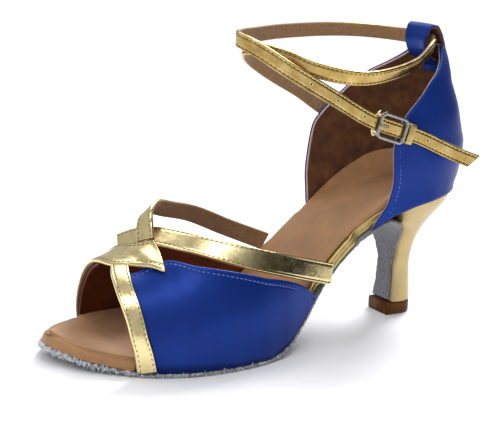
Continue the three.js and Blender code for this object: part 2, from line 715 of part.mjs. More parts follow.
// A strap that hangs free: its outer face looks the way that turn and lean say
function freeStrap(rows, width, steps) {
  const path = pathOf(rows, overSole);
  const face = distance => (u, v) => {
    const turn = rad(along(rows, 'turn', u));
    const lean = rad(along(rows, 'lean', u));
    const tangent = path.getTangent(u);
    const outward = new THREE.Vector3(
      Math.cos(turn) * Math.cos(lean), Math.sin(turn) * Math.cos(lean), Math.sin(lean));
    outward.addScaledVector(tangent, -outward.dot(tangent)).normalize();
    const across = new THREE.Vector3().crossVectors(outward, tangent);
    return path.getPoint(u)
      .addScaledVector(outward, distance)
      .addScaledVector(across, width * (v - 0.5))
      .toArray();
  };
  return shell(face(VAMP_STRAP_THICK / 2), face(-VAMP_STRAP_THICK / 2), steps, 1);
}

// Outward normal of the vamp's skin beside a free point
function skinNormal(point) {
  const step = (x, y, z) => ontoSkin(new THREE.Vector3(point.x + x, point.y + y, point.z + z), 0);
  const lengthwise = step(1, 0, 0).sub(step(-1, 0, 0));
  const outward = ontoSkin(point, 1).sub(ontoSkin(point, 0));
  const round = new THREE.Vector3(0, -outward.z, outward.y);
  const normal = lengthwise.cross(round).normalize();
  return normal.dot(outward) < 0 ? normal.negate() : normal;
}

// A strap that lies over the panels on the vamp's skin; its last end may be cut at a slant
function skinStrap(rows, width, steps, slant) {
  const path = pathOf(rows, overSole);
  const face = distance => (u, v) => {
    const centre = path.getPoint(u);
    const tangent = path.getTangent(u);
    const across = skinNormal(centre).cross(tangent).normalize();
    const end = ease(u, 1 - 2 / (rows.length - 1), 1);
    centre.addScaledVector(across, width * along(rows, 'wide', u) * (v - 0.5));
    centre.addScaledVector(tangent, -slant * end * 2 * (v - 0.5));
    const lift = PANEL_WALL + CLEAR + VAMP_STRAP_THICK * along(rows, 'lift', u);
    return ontoSkin(centre, lift + distance).toArray();
  };
  return shell(face(VAMP_STRAP_THICK), face(0), steps, 3);
}

// The four straps of the vamp, sewn together where they cross, clear of the sole's top
function vampStraps() {
  const ground = slab({
    from: 0.25,
    inset: () => -BALL_WIDTH / 10,
    bottom: () => -BOARD_THICK,
    top: () => BOARD_LOW,
    steps: 30,
    across: 2,
  });
  return freeStrap(LONG_STRAP, VAMP_STRAP_WIDTH, 28)
    .add(freeStrap(ARCH_STRAP, ARCH_STRAP_WIDTH, 28))
    .add(skinStrap(SIDE_STRAP, SIDE_STRAP_WIDTH, 18, 0))
    .add(skinStrap(TOP_STRAP, VAMP_STRAP_WIDTH, 24, TAB_SLANT))
    .subtract(ground);
}

// Heel cup

// The cup's skin; round runs from -1 at the lateral front edge over the back to 1 at the medial one
function cupPoint(round, level, inset) {
  const value = column => lookup(CUP, 'rise', column, level);
  const share = Math.abs(round);
  const front = value(round < 0 ? 'lateral' : 'medial') * SHOE_LENGTH;
  const back = value('back') * SHOE_LENGTH + inset;
  const at = lerp(back, front, 1 - Math.cos(share * Math.PI / 2)) / SHOE_LENGTH;
  const depthHere = Math.max(0, at * SHOE_LENGTH - back);
  const depth = depthHere / (CUP_ROUND * SHOE_LENGTH);
  const arc = (1 - (1 - Math.min(1, depth)) ** CUP_SQUARENESS) ** (1 / CUP_SQUARENESS);
  const narrowing = 1 - 0.07 * Math.max(0, depth - 1);
  const free = (value('half') * BALL_WIDTH - inset) * arc * narrowing;
  const seatAt = lerp(HEEL_END + depthHere / SHOE_LENGTH, at, ease(depthHere, 0, CUP_ROUND * SHOE_LENGTH));
  const seat = Math.max(0, Math.abs(edgeSide(seatAt, Math.sign(round) || 1, 0)) - inset);
  const blend = ease(level, 0, 0.3);
  const y = share === 0 ? 0 : lerp(Math.min(seat, free * 1.2), free, blend);
  const foot = soleRise(at, BOARD_LOW);
  return [-at * SHOE_LENGTH, Math.sign(round) * y, lerp(foot, HEEL_HEIGHT + CUP_HEIGHT, level)];
}

function counter() {
  const face = inset => (u, v) => cupPoint(2 * u - 1, v, inset);
  return shell(face(0), face(COUNTER_WALL), 34, 15);
}

function backLoop() {
  const path = pathOf(LOOP, overSeat);
  const face = distance => (u, v) => {
    const point = path.getPoint(u);
    const tangent = path.getTangent(u);
    const curl = along(LOOP, 'curl', u) * SHOE_LENGTH * (2 * v - 1) ** 2;
    const x = point.x + distance * tangent.z - curl;
    return [x, LOOP_WIDTH * along(LOOP, 'wide', u) * (v - 0.5), point.z - distance * tangent.x];
  };
  return shell(face(LOOP_THICK / 2), face(-LOOP_THICK / 2), 24, 6);
}

// Ankle strap and buckle

const ankleRoute = pathOf(ANKLE_STRAP, overSeat);

// Axes on the ankle strap: forwards along it, outwards from the ankle and up across it
function ankleFrame(u) {
  const forward = ankleRoute.getTangent(u);
  const outward = new THREE.Vector3().crossVectors(forward, new THREE.Vector3(0, 0, 1)).normalize();
  outward.applyAxisAngle(forward, rad(along(ANKLE_STRAP, 'lean', u)));
  const up = new THREE.Vector3().crossVectors(outward, forward);
  return { origin: ankleRoute.getPoint(u), forward, outward, up };
}

function ankleStrap() {
  const face = distance => (u, v) => {
    const frame = ankleFrame(u);
    return frame.origin
      .addScaledVector(frame.outward, distance)
      .addScaledVector(frame.up, ANKLE_STRAP_WIDTH * (v - 0.5))
      .addScaledVector(frame.forward, u === 1 ? STRAP_END_SLANT * (v - 0.5) : 0)
      .toArray();
  };
  return shell(face(ANKLE_STRAP_THICK / 2), face(-ANKLE_STRAP_THICK / 2), 2 * (ANKLE_STRAP.length - 1), 1);
}

// Place on the ankle strap's last stretch at a share of the shoe's length
function placeOnStrap(at) {
  let u = 1;
  while (u > 0 && -ankleRoute.getPoint(u).x / SHOE_LENGTH < at) u -= 0.0005;
  return u;
}
const buckleFrameAxes = ankleFrame(placeOnStrap(BUCKLE_AT));

// A geometry made in the buckle's own axes, put in its place
function onBuckle(geometry, forward, outward) {
  const axes = buckleFrameAxes;
  const matrix = new THREE.Matrix4()
    .makeBasis(axes.forward, axes.up, axes.outward)
    .setPosition(axes.origin);
  return toSolid(geometry.clone().translate(forward, 0, outward).applyMatrix4(matrix));
}

function roundedOutline(path, length, width, radius) {
  const x = length / 2;
  const y = width / 2;
  path.moveTo(-x + radius, -y);
  path.lineTo(x - radius, -y);
  path.absarc(x - radius, -y + radius, radius, -Math.PI / 2, 0, false);
  path.lineTo(x, y - radius);
  path.absarc(x - radius, y - radius, radius, 0, Math.PI / 2, false);
  path.lineTo(-x + radius, y);
  path.absarc(-x + radius, y - radius, radius, Math.PI / 2, Math.PI, false);
  path.lineTo(-x, -y + radius);
  path.absarc(-x + radius, -y + radius, radius, Math.PI, 3 * Math.PI / 2, false);
  return path;
}

const strapFace = ANKLE_STRAP_THICK / 2 + CLEAR;

function buckleFrame() {
  const openWidth = ANKLE_STRAP_WIDTH + 2;
  const shape = roundedOutline(new THREE.Shape(), BUCKLE_LENGTH, openWidth + 2 * BUCKLE_BAR, BUCKLE_CORNER);
  const openLength = BUCKLE_LENGTH - 2 * BUCKLE_BAR;
  shape.holes.push(roundedOutline(new THREE.Path(), openLength, openWidth, BUCKLE_CORNER / 2));
  const ring = new THREE.ExtrudeGeometry(
    shape, { depth: BUCKLE_THICK, bevelEnabled: false, curveSegments: 5 });
  return onBuckle(ring.translate(0, 0, -BUCKLE_THICK / 2), 0, strapFace + BUCKLE_THICK / 2);
}

function buckleProng() {
  const bar = BUCKLE_BAR - BUCKLE_LENGTH / 2;
  const low = strapFace + PRONG_RADIUS;
  const high = low + BUCKLE_THICK + CLEAR;
  const path = new THREE.CatmullRomCurve3([
    new THREE.Vector3(bar + PRONG_REACH, 0, low),
    new THREE.Vector3(bar + PRONG_REACH / 2, 0, lerp(low, high, 0.5)),
    new THREE.Vector3(bar, 0, high),
    new THREE.Vector3(bar - BUCKLE_BAR, 0, high),
  ]);
  const rings = [];
  for (let k = 0; k <= 10; k += 1) {
    const centre = path.getPoint(k / 10);
    const tangent = path.getTangent(k / 10);
    const ring = [];
    for (let n = 0; n < 8; n += 1) {
      const across = PRONG_RADIUS * Math.cos(rad(45 * n));
      const over = PRONG_RADIUS * Math.sin(rad(45 * n));
      ring.push([centre.x - tangent.z * over, across, centre.z + tangent.x * over]);
    }
    rings.push(ring);
  }
  return onBuckle(tubeGeometry(rings), 0, 0);
}

// The anchor lies behind the strap, from the buckle to the side of the cup, and carries the keeper
function buckleAnchorStrap() {
  const behind = -strapFace - ANCHOR_THICK / 2;
  const depth = 2 * (strapFace + ANCHOR_THICK);
  const width = ANKLE_STRAP_WIDTH + 2 * (CLEAR + ANCHOR_THICK);
  const place = ANCHOR_LENGTH / 2 - KEEPER_LENGTH / 2;
  const middle = ANCHOR_LENGTH / 2 - BUCKLE_LENGTH / 2;
  const anchor = onBuckle(
    new THREE.BoxGeometry(ANCHOR_LENGTH, ANKLE_STRAP_WIDTH, ANCHOR_THICK), middle, behind);
  const keeper = onBuckle(new THREE.BoxGeometry(KEEPER_LENGTH, width, depth), place, 0);
  const opening = onBuckle(
    new THREE.BoxGeometry(2 * KEEPER_LENGTH, width - 2 * ANCHOR_THICK, 2 * strapFace), place, 0);
  return anchor.add(keeper.subtract(opening));
}

// Assembly

const SATIN_BLUE = { color: 0x1c3a8c, roughness: 0.42, metalness: 0 };
const GOLD_LEATHER = { color: 0xb9a878, roughness: 0.35, metalness: 0.55 };

const PIECES = [
  ['outsole', outsole, { color: 0x6b6c70, roughness: 0.95, metalness: 0 }],
  ['insole_board', insoleBoard, GOLD_LEATHER],
  ['insole_sock', insoleSock, { color: 0xa47956, roughness: 0.8, metalness: 0 }],
  ['vamp_panel_lateral', () => vampPanel(-1), SATIN_BLUE],
  ['vamp_panel_medial', () => vampPanel(1), SATIN_BLUE],
  ['vamp_straps', vampStraps, GOLD_LEATHER],
  ['counter', counter, SATIN_BLUE],
  ['back_loop', backLoop, SATIN_BLUE],
  ['ankle_strap', ankleStrap, GOLD_LEATHER],
  ['buckle_frame', buckleFrame, { color: 0x8c8c88, roughness: 0.25, metalness: 1 }],
  ['buckle_prong', buckleProng, { color: 0xb8b8b4, roughness: 0.25, metalness: 1 }],
  ['buckle_anchor_strap', buckleAnchorStrap, GOLD_LEATHER],
  ['heel_block', heelBlock, { color: 0xb09e74, roughness: 0.45, metalness: 0.3 }],
  ['heel_tip', heelTip, { color: 0x4f3420, roughness: 0.7, metalness: 0 }],
];

function meshOf(name, solid, look) {
  const { vertProperties, triVerts } = solid.getMesh();
  const geometry = new THREE.BufferGeometry();
  geometry.setAttribute('position', new THREE.BufferAttribute(vertProperties, 3));
  geometry.setIndex(new THREE.BufferAttribute(triVerts, 1));
  geometry.computeVertexNormals();
  const mesh = new THREE.Mesh(geometry, new THREE.MeshStandardMaterial(look));
  mesh.name = name;
  return mesh;
}

const shoe = new THREE.Group();
shoe.name = 'dance_sandal';
for (const [name, make, look] of PIECES) shoe.add(meshOf(name, make(), look));

const box = new THREE.Box3().setFromObject(shoe);
const middle = box.getCenter(new THREE.Vector3());
shoe.position.set(-middle.x, -middle.y, -box.min.z);

export default shoe;
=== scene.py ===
"""Looks of an open-toe ballroom sandal: each piece of the CAD frame rebuilt with its real surface."""
import math

import bmesh
import bpy
import numpy as np
from mathutils import Matrix, Vector


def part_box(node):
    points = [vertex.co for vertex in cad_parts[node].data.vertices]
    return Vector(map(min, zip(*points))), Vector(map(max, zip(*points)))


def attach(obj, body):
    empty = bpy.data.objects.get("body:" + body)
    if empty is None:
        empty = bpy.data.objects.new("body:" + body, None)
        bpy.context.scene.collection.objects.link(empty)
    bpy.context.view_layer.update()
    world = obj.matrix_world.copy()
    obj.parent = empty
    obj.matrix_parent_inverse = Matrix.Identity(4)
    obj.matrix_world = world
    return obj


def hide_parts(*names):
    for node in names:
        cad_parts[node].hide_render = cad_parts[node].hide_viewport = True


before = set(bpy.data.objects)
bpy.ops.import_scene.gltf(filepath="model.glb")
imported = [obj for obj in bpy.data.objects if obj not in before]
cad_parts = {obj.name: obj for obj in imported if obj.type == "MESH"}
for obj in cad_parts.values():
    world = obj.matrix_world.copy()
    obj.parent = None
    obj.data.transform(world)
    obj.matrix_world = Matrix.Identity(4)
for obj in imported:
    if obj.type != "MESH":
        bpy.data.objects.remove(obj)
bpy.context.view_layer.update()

bl_info = {
    "name": "Ballroom sandal looks",
    "version": (1, 0, 0),
    "blender": (4, 5, 0),
    "location": "3D View > Sidebar > Sandal",
    "description": "Builds the visible pieces of an open-toe ballroom sandal",
    "category": "Object",
}

# Sizes in millimetres; along the shoe in shares of its length, across in shares of the ball's width
LENGTH, WIDTH, RISE, VAMP, CUP_TALL = 216.0, 82.0, 60.0, 60.0, 69.0
HEEL_END = 8.6 / LENGTH
SOLE_THICK = 1.6
BOARD_LOW = 1.9
BOARD_HIGH = 6.5
CLEAR = 0.3
FEATHER = 0.4
PANEL_WALL = 1.4
CUP_WALL = 1.6
STRAP_THICK = 1.6
CUP_INSET, VAMP_INSET = 2.2, 2.4
STITCH_INSET = 1.25
SATIN_PITCH, HEM_DEPTH, CUP_HEM_DEPTH = 2.1, 2.3, 2.6
ANKLE_WIDTH, ANKLE_THICK, END_SLANT = 7.0, 1.8, 4
LOOP_WIDTH, LOOP_THICK = 19, 1.5
BUCKLE_LENGTH, BUCKLE_BAR, BUCKLE_OPENING = 16, 1.7, 9
BUCKLE_OUT, BUCKLE_HALF = 1.2, 0.65
KEEPER_LENGTH, KEEPER_WIDE, KEEPER_DEEP = 3.5, 9.6, 4.4
ANCHOR_LENGTH, ANCHOR_THICK = 25, 1.0
TIP_THICK = 6.0
FLAP_STEPS, SOLE_STEPS = 90, 420
CUP_FRONT, PANEL_BACK = 0.332, 0.456

# The place of the shoe's back in the frame: the toe of the sole lies one length in front of it
SOLE_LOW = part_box("outsole")[0]
TIP_LOW, TIP_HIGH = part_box("heel_tip")
OFFSET = np.array([SOLE_LOW.x * 1000 + LENGTH, (TIP_LOW.y + TIP_HIGH.y) * 500, 0.0])

# Underside of the sole along its middle
PROFILE = np.array([
    [0, 1.045], [0.046, 1.03], [0.093, 1.002], [0.139, 0.977], [0.185, 0.948], [0.231, 0.907],
    [0.278, 0.838], [0.324, 0.738], [0.37, 0.608], [0.417, 0.455], [0.463, 0.292], [0.505, 0.15],
    [0.542, 0.057], [0.574, 0.013], [0.611, 0], [0.833, 0], [0.88, 0.01], [0.926, 0.033],
    [0.963, 0.057], [1, 0.09]])

# Outline of the sole from above: place, outer side, inner side
OUTLINE = np.array([
    [HEEL_END, 0, 0], [0.058, -0.159, 0.159], [0.083, -0.238, 0.234], [0.125, -0.296, 0.293],
    [0.171, -0.321, 0.317], [0.222, -0.321, 0.317], [0.278, -0.307, 0.309], [0.347, -0.29, 0.296],
    [0.417, -0.311, 0.3], [0.486, -0.384, 0.317], [0.556, -0.467, 0.349], [0.625, -0.522, 0.398],
    [0.694, -0.54, 0.444], [0.764, -0.524, 0.463], [0.833, -0.463, 0.449], [0.88, -0.384, 0.407],
    [0.926, -0.29, 0.327], [0.963, -0.189, 0.241], [0.986, -0.073, 0.165], [1, 0.055, 0.055]])

# Visible face of the suede flap down the front of the heel: place, rise, half width
FLAP = np.array([
    [0.194, 0.125, 0.078], [0.19, 0.3, 0.068], [0.189, 0.45, 0.072], [0.192, 0.6, 0.115],
    [0.202, 0.717, 0.183], [0.224, 0.8, 0.25], [0.252, 0.837, 0.272], [0.28, 0.825, 0.29]])
FLAP_JOIN = 0.315

# Sections of the heel: rise, back, breast, half width
HEEL = np.array([
    [0, 0.1225, 0.197, 0.099], [0.15, 0.125, 0.194, 0.09], [0.33, 0.1265, 0.19, 0.083],
    [0.5, 0.1215, 0.192, 0.1], [0.65, 0.1115, 0.204, 0.145], [0.78, 0.094, 0.238, 0.212],
    [0.89, 0.069, 0.284, 0.268], [0.96, 0.0535, 0.304, 0.292], [1.1, 0.041, 0.306, 0.306]])
HEEL_TOP, HEEL_WIDEST, HEEL_SQUARENESS = 1.1, 0.42, 2.3

# Top of the vamp over the middle of the foot
RIDGE = np.array([
    [0.417, 0.712], [0.509, 0.895], [0.579, 0.955], [0.648, 0.922], [0.694, 0.892], [0.741, 0.85],
    [0.778, 0.792], [0.796, 0.75], [0.815, 0.717], [0.833, 0.677], [0.866, 0.628], [0.889, 0.584],
    [0.926, 0.483]])
SQUARENESS = {-1: 2.7, 1: 2.2}

# Top edge of the side panels: place, outer share, inner share
PANEL_TOP = np.array([
    [0.456, 0.02, 0.02], [0.475, 0.15, 0.18], [0.495, 0.294, 0.33], [0.53, 0.46, 0.51],
    [0.565, 0.557, 0.61], [0.606, 0.623, 0.68], [0.648, 0.69, 0.75], [0.694, 0.758, 0.81],
    [0.745, 0.837, 0.87], [0.796, 0.95, 0.92], [0.868, 0.97, 0.94]])
PANEL_FRONT = {-1: 0.868, 1: 0.86}

# Straps that hang free: place, side, rise, turn of the outer face, lean of it
LONG_STRAP = np.array([
    [0.812, 0.183, 0.732, 180, 12], [0.796, 0.091, 0.803, 190, 38], [0.778, 0, 0.845, 205, 56],
    [0.722, -0.195, 0.83, 248, 47], [0.625, -0.348, 0.737, 264, 27], [0.53, -0.366, 0.56, 270, 19],
    [0.419, -0.329, 0.077, 272, 12]])
ARCH_STRAP = np.array([
    [0.789, -0.012, 0.825, 200, 30], [0.784, 0.024, 0.92, 190, 40], [0.774, 0.061, 0.99, 160, 42],
    [0.745, 0.134, 1.007, 130, 42], [0.694, 0.22, 0.95, 112, 34], [0.62, 0.293, 0.867, 102, 30],
    [0.525, 0.341, 0.618, 94, 24], [0.431, 0.316, 0.165, 90, 14]])

# Straps on the vamp's skin: place, side, rise, lift in thicknesses, width in widths
SIDE_STRAP = np.array([
    [0.861, -0.42, 0.039, 0, 1.05], [0.867, -0.402, 0.185, 0, 0.98], [0.872, -0.384, 0.28, 0, 0.92],
    [0.875, -0.36, 0.379, 0, 0.9], [0.878, -0.312, 0.489, 0, 0.9], [0.878, -0.249, 0.577, 0, 0.9],
    [0.872, -0.176, 0.642, 0, 0.95], [0.863, -0.111, 0.679, 0, 1], [0.847, -0.024, 0.697, 0, 1]])
TOP_STRAP = np.array([
    [0.836, 0.439, 0.044, 0, 1], [0.842, 0.433, 0.165, 0, 1], [0.845, 0.421, 0.281, 0, 1],
    [0.846, 0.378, 0.414, 0, 1], [0.846, 0.293, 0.53, 0.1, 1.1], [0.846, 0.165, 0.62, 0.25, 1.3],
    [0.844, 0.06, 0.68, 0.4, 1.5], [0.838, -0.02, 0.7, 0.4, 1.6], [0.822, -0.076, 0.72, 0.4, 1.6],
    [0.802, -0.156, 0.74, 0.3, 1.6], [0.7945, -0.195, 0.753, 0.3, 1.6]])
TAB_SLANT = 7.4

# Levels of the heel cup: rise, back, half width, outer front edge, inner front edge
CUP = np.array([
    [0, 0.037, 0.323, 0.306, 0.315], [0.051, 0.0343, 0.329, 0.285, 0.326],
    [0.101, 0.0282, 0.334, 0.271, 0.329], [0.203, 0.0255, 0.345, 0.265, 0.329],
    [0.333, 0.0259, 0.354, 0.27, 0.324], [0.435, 0.0338, 0.354, 0.272, 0.318],
    [0.514, 0.0394, 0.351, 0.266, 0.31], [0.565, 0.0426, 0.346, 0.258, 0.292],
    [0.623, 0.0468, 0.337, 0.24, 0.262], [0.71, 0.056, 0.324, 0.207, 0.22],
    [0.79, 0.0625, 0.305, 0.177, 0.176], [0.855, 0.0625, 0.274, 0.144, 0.139],
    [0.92, 0.062, 0.226, 0.117, 0.116], [1, 0.063, 0.146, 0.095, 0.102]])
CUP_ROUND, CUP_SQUARENESS = 0.15, 2.2

# Middle line of the back loop: place, rise over the seat, curl, width
LOOP = np.array([
    [0.0755, 1.013, 0.019, 1], [0.0801, 1.051, 0.019, 1], [0.0917, 1.101, 0.014, 1],
    [0.1088, 1.139, 0.006, 1], [0.1245, 1.134, 0.003, 0.95], [0.131, 1.098, 0.003, 0.88],
    [0.1335, 1.03, 0.004, 0.78], [0.1225, 0.95, 0.005, 0.72], [0.098, 0.905, 0.007, 0.7],
    [0.0805, 0.87, 0.007, 0.7], [0.0775, 0.82, 0.0065, 0.7]])

# Route of the ankle strap: place, side, rise over the seat, lean of its upper edge
ANKLE = np.array([
    [0.231, 0.371, 0.457, 0], [0.273, 0.371, 0.522, 0], [0.315, 0.363, 0.601, 0],
    [0.352, 0.335, 0.667, 0], [0.449, 0.244, 0.812, 0], [0.523, 0.146, 0.932, 0],
    [0.558, 0.061, 1, 0], [0.569, 0, 1.029, 0], [0.562, -0.061, 1.029, 0], [0.544, -0.116, 1.007, 0],
    [0.505, -0.171, 0.967, 0], [0.472, -0.226, 0.92, 0], [0.412, -0.28, 0.87, 8],
    [0.352, -0.305, 0.848, 20], [0.278, -0.293, 0.87, 28], [0.204, -0.244, 0.92, 30],
    [0.148, -0.165, 0.993, 18], [0.113, -0.085, 1.029, 4], [0.105, 0, 1.038, 0],
    [0.111, 0.098, 1.048, -8], [0.144, 0.183, 1.062, -22], [0.208, 0.256, 1.08, -26],
    [0.287, 0.305, 1.087, -18], [0.421, 0.268, 1.084, -8], [0.516, 0.152, 1.081, 0],
    [0.567, 0.073, 1.08, 0], [0.588, -0.012, 1.077, 0], [0.583, -0.098, 1.054, 0],
    [0.567, -0.159, 1.014, 0], [0.523, -0.256, 0.909, 0], [0.486, -0.293, 0.836, 0],
    [0.4301, -0.322, 0.735, 0], [0.3503, -0.356, 0.593, 0], [0.2863, -0.369, 0.521, 0],
    [0.2253, -0.38, 0.46, 0], [0.1703, -0.404, 0.383, 0], [0.1283, -0.429, 0.325, 0],
    [0.0973, -0.448, 0.288, 0]])
BUCKLE_AT = 0.299
STRAP_HOLES = (0.483, 0.424, 0.364, 0.208)

# Camera: angles in degrees, the point it looks at in mm ahead of the heel and m over the floor
AZIMUTH, ELEVATION, ROLL = -31.60, 13.38, 2.10
TARGET_AHEAD, TARGET_RISE, CAMERA_AWAY = 117.6, 0.0561, 0.6
SENSOR, FOCAL_PIXELS, PICTURE_WIDTH = 36, 1334.1, 500


# Curves and tables

def mix(a, b, share):
    """The value a share of the way from a to b."""
    return a + (b - a) * share


def ease(value, low, high):
    """Smooth step: 0 before low, 1 past high, three squares less two cubes between them."""
    share = np.clip((np.asarray(value, float) - low) / (high - low), 0, 1)
    return share * share * (3 - 2 * share)


def lookup(keys, values, at):
    """Monotone cubic through a table: Hermite pieces whose inner slopes are harmonic means."""
    span = np.diff(keys)
    secant = np.diff(values) / span
    total = secant[:-1] + secant[1:]
    product = secant[:-1] * secant[1:]
    inner = np.where(product > 0, 2 * product / np.where(total == 0, 1, total), 0)
    slope = np.concatenate([secant[:1], inner, secant[-1:]])
    at = np.clip(np.asarray(at, float), keys[0], keys[-1])
    row = np.clip(np.searchsorted(keys, at, side="right") - 1, 0, len(span) - 1)
    t = (at - keys[row]) / span[row]
    rise = (3 - 2 * t) * t * t
    bend = t * (1 - t) * (1 - t) * slope[row] - t * t * (1 - t) * slope[row + 1]
    return values[row] * (1 - rise) + values[row + 1] * rise + span[row] * bend


def spline(points, t):
    """Point at t from 0 to 1 on a centripetal Catmull-Rom curve through the points."""
    last = len(points) - 1
    place = np.clip(np.asarray(t, float), 0, 1) * last
    row = np.clip(np.floor(place).astype(int), 0, last - 1)
    w = (place - row)[..., None]
    held = np.vstack([2 * points[0] - points[1], points, 2 * points[-1] - points[-2]])
    p0, p1, p2, p3 = held[row], held[row + 1], held[row + 2], held[row + 3]
    d0, d1, d2 = (np.linalg.norm(b - a, axis=-1, keepdims=True) ** 0.5
                  for a, b in ((p0, p1), (p1, p2), (p2, p3)))
    t1 = ((p1 - p0) / d0 - (p2 - p0) / (d0 + d1) + (p2 - p1) / d1) * d1
    t2 = ((p2 - p1) / d1 - (p3 - p1) / (d1 + d2) + (p3 - p2) / d2) * d1
    return p1 + t1 * w + (-3 * p1 + 3 * p2 - 2 * t1 - t2) * w ** 2 + (2 * p1 - 2 * p2 + t1 + t2) * w ** 3


def squared(value, power):
    """A sine or cosine raised to a power with its sign kept, which squares a circle's corners."""
    return np.sign(value) * np.abs(value) ** power


def unit(v):
    """Vectors of length 1."""
    return v / np.maximum(np.linalg.norm(v, axis=-1, keepdims=True), 1e-9)


def heading(points, t):
    """Direction of the curve at t, from a short step to both sides."""
    return unit(spline(points, np.minimum(t + 1e-4, 1)) - spline(points, np.maximum(t - 1e-4, 0)))


def column(rows, n, t):
    """A column of the table between the rows that a curve runs through."""
    return np.interp(np.asarray(t) * (len(rows) - 1), np.arange(len(rows)), rows[:, n])


# The last: sole, vamp skin and heel cup

def along_of(at):
    """Place round the outline, even round both ends."""
    share = np.clip((np.asarray(at, float) - HEEL_END) / (1 - HEEL_END), 0, 1)
    return np.arccos(1 - 2 * share) / math.pi


def at_of(along):
    """Share of the length at a place round the outline."""
    return HEEL_END + (1 - HEEL_END) * (1 - np.cos(math.pi * along)) / 2


OUTLINE_ALONG = along_of(OUTLINE[:, 0])


def sole_z(at):
    """Height of the sole's underside over the floor."""
    return RISE * lookup(PROFILE[:, 0], PROFILE[:, 1], at)


def sole_slope(at):
    """Slope of the underside along the shoe, from a short step to both sides."""
    low, high = np.maximum(0, at - 0.004), np.minimum(1, at + 0.004)
    return (sole_z(high) - sole_z(low)) / ((high - low) * LENGTH)


def on_sole(at, y, height):
    """Point a height over the underside, measured square to it."""
    at, y, height = np.broadcast_arrays(np.asarray(at, float), y, height)
    slope = sole_slope(at)
    size = np.hypot(1, slope)
    return np.stack([-at * LENGTH + height * slope / size, y, sole_z(at) + height / size], -1)


def sole_rise(at, height):
    """Height over the floor of the surface that lies a height over the underside."""
    return sole_z(at) + height * np.hypot(1, sole_slope(at))


def outline(along, side):
    """Outline of the sole, mirrored past both ends; along is 0 at the heel and 1 at the toe."""
    along, side = np.broadcast_arrays(np.asarray(along, float), side)
    past = (along < 0) | (along > 1)
    inside = np.where(along < 0, -along, np.where(along > 1, 2 - along, along))
    side = np.where(past, -side, side)
    outer = lookup(OUTLINE_ALONG, OUTLINE[:, 1], inside)
    inner = lookup(OUTLINE_ALONG, OUTLINE[:, 2], inside)
    return np.stack([-at_of(inside) * LENGTH, np.where(side < 0, outer, inner) * WIDTH], -1)


def edge(along, side, inset):
    """Outline moved in square to itself by an inset."""
    step = outline(along + 0.01, side) - outline(along - 0.01, side)
    run = np.stack([-step[..., 1], step[..., 0]], -1) / np.linalg.norm(step, axis=-1, keepdims=True)
    return outline(along, side) + run * (np.asarray(inset) * side)[..., None]


def edge_side(at, side, inset):
    """Side of the shoe at one place along it, moved in by an inset."""
    along = along_of(at)
    step = outline(along + 0.01, side) - outline(along - 0.01, side)
    run = np.maximum(1e-6, np.abs(step[..., 0]))
    return outline(along, side)[..., 1] - side * inset * np.hypot(1, step[..., 1] / run)


def skin(at, side, angle, offset):
    """Vamp skin: a quarter superellipse over the sole at each place, moved out square to itself."""
    at, angle, offset = np.broadcast_arrays(np.asarray(at, float), angle, offset)
    foot, tall, half = section(at, side)
    power = SQUARENESS[side]
    across = np.maximum(0, np.cos(angle)) ** (2 / power)
    up = np.maximum(0, np.sin(angle)) ** (2 / power)
    ny, nz = across ** (power - 1) / half, up ** (power - 1) / tall
    size = np.hypot(ny, nz)
    return np.stack([-at * LENGTH, side * (half * across + offset * ny / size),
                     foot + tall * up + offset * nz / size], -1)


def section(at, side):
    """Foot, height and half width of the vamp skin at one place."""
    foot = sole_rise(at, BOARD_LOW)
    tall = sole_z(at) + VAMP * lookup(RIDGE[:, 0], RIDGE[:, 1], at) - foot
    return foot, tall, np.abs(edge_side(at, side, FEATHER + PANEL_WALL))


def onto_skin(points, offset):
    """Points moved onto the vamp skin, seen from the middle of the foot."""
    at = -points[..., 0] / LENGTH
    result = []
    for side in (-1, 1):
        foot, tall, half = section(at, side)
        power = SQUARENESS[side] / 2
        across = np.abs(points[..., 1]) / half
        up = np.maximum(0, points[..., 2] - foot) / tall
        result.append(skin(at, side, np.arctan2(up ** power, across ** power), offset))
    return np.where((points[..., 1] < 0)[..., None], result[0], result[1])


def skin_normal(points):
    """Outward normal of the vamp skin beside free points."""
    lengthwise = onto_skin(points + [1, 0, 0], 0) - onto_skin(points - [1, 0, 0], 0)
    outward = onto_skin(points, 1) - onto_skin(points, 0)
    around = np.stack([np.zeros_like(outward[..., 0]), -outward[..., 2], outward[..., 1]], -1)
    normal = unit(np.cross(lengthwise, around))
    return normal * np.sign(np.sum(normal * outward, -1, keepdims=True))


def cup(place, level, inset):
    """Heel cup: place from -1 at the outer front edge over the back to 1 at the inner one."""
    place, level, inset = np.broadcast_arrays(np.asarray(place, float), level, inset)
    share = np.abs(place)
    back, half, outer, inner = (lookup(CUP[:, 0], CUP[:, n], level) for n in range(1, 5))
    front = np.where(place < 0, outer, inner)
    back = back * LENGTH + inset
    at = mix(back, front * LENGTH, 1 - np.cos(share * math.pi / 2)) / LENGTH
    deep = np.maximum(0, at * LENGTH - back)
    depth = deep / (CUP_ROUND * LENGTH)
    arc = (1 - (1 - np.minimum(1, depth)) ** CUP_SQUARENESS) ** (1 / CUP_SQUARENESS)
    free = (half * WIDTH - inset) * arc * (1 - 0.07 * np.maximum(0, depth - 1))
    seat_at = mix(HEEL_END + deep / LENGTH, at, ease(deep, 0, CUP_ROUND * LENGTH))
    side = np.where(place < 0, -1, 1)
    seat = np.where(side < 0, -edge_side(seat_at, -1, 0), edge_side(seat_at, 1, 0))
    seat = np.maximum(0, seat - inset)
    y = np.where(share < 1e-9, 0, mix(np.minimum(seat, free * 1.2), free, ease(level, 0, 0.3)))
    return np.stack([-at * LENGTH, side * y, mix(sole_rise(at, BOARD_LOW), RISE + CUP_TALL, level)], -1)


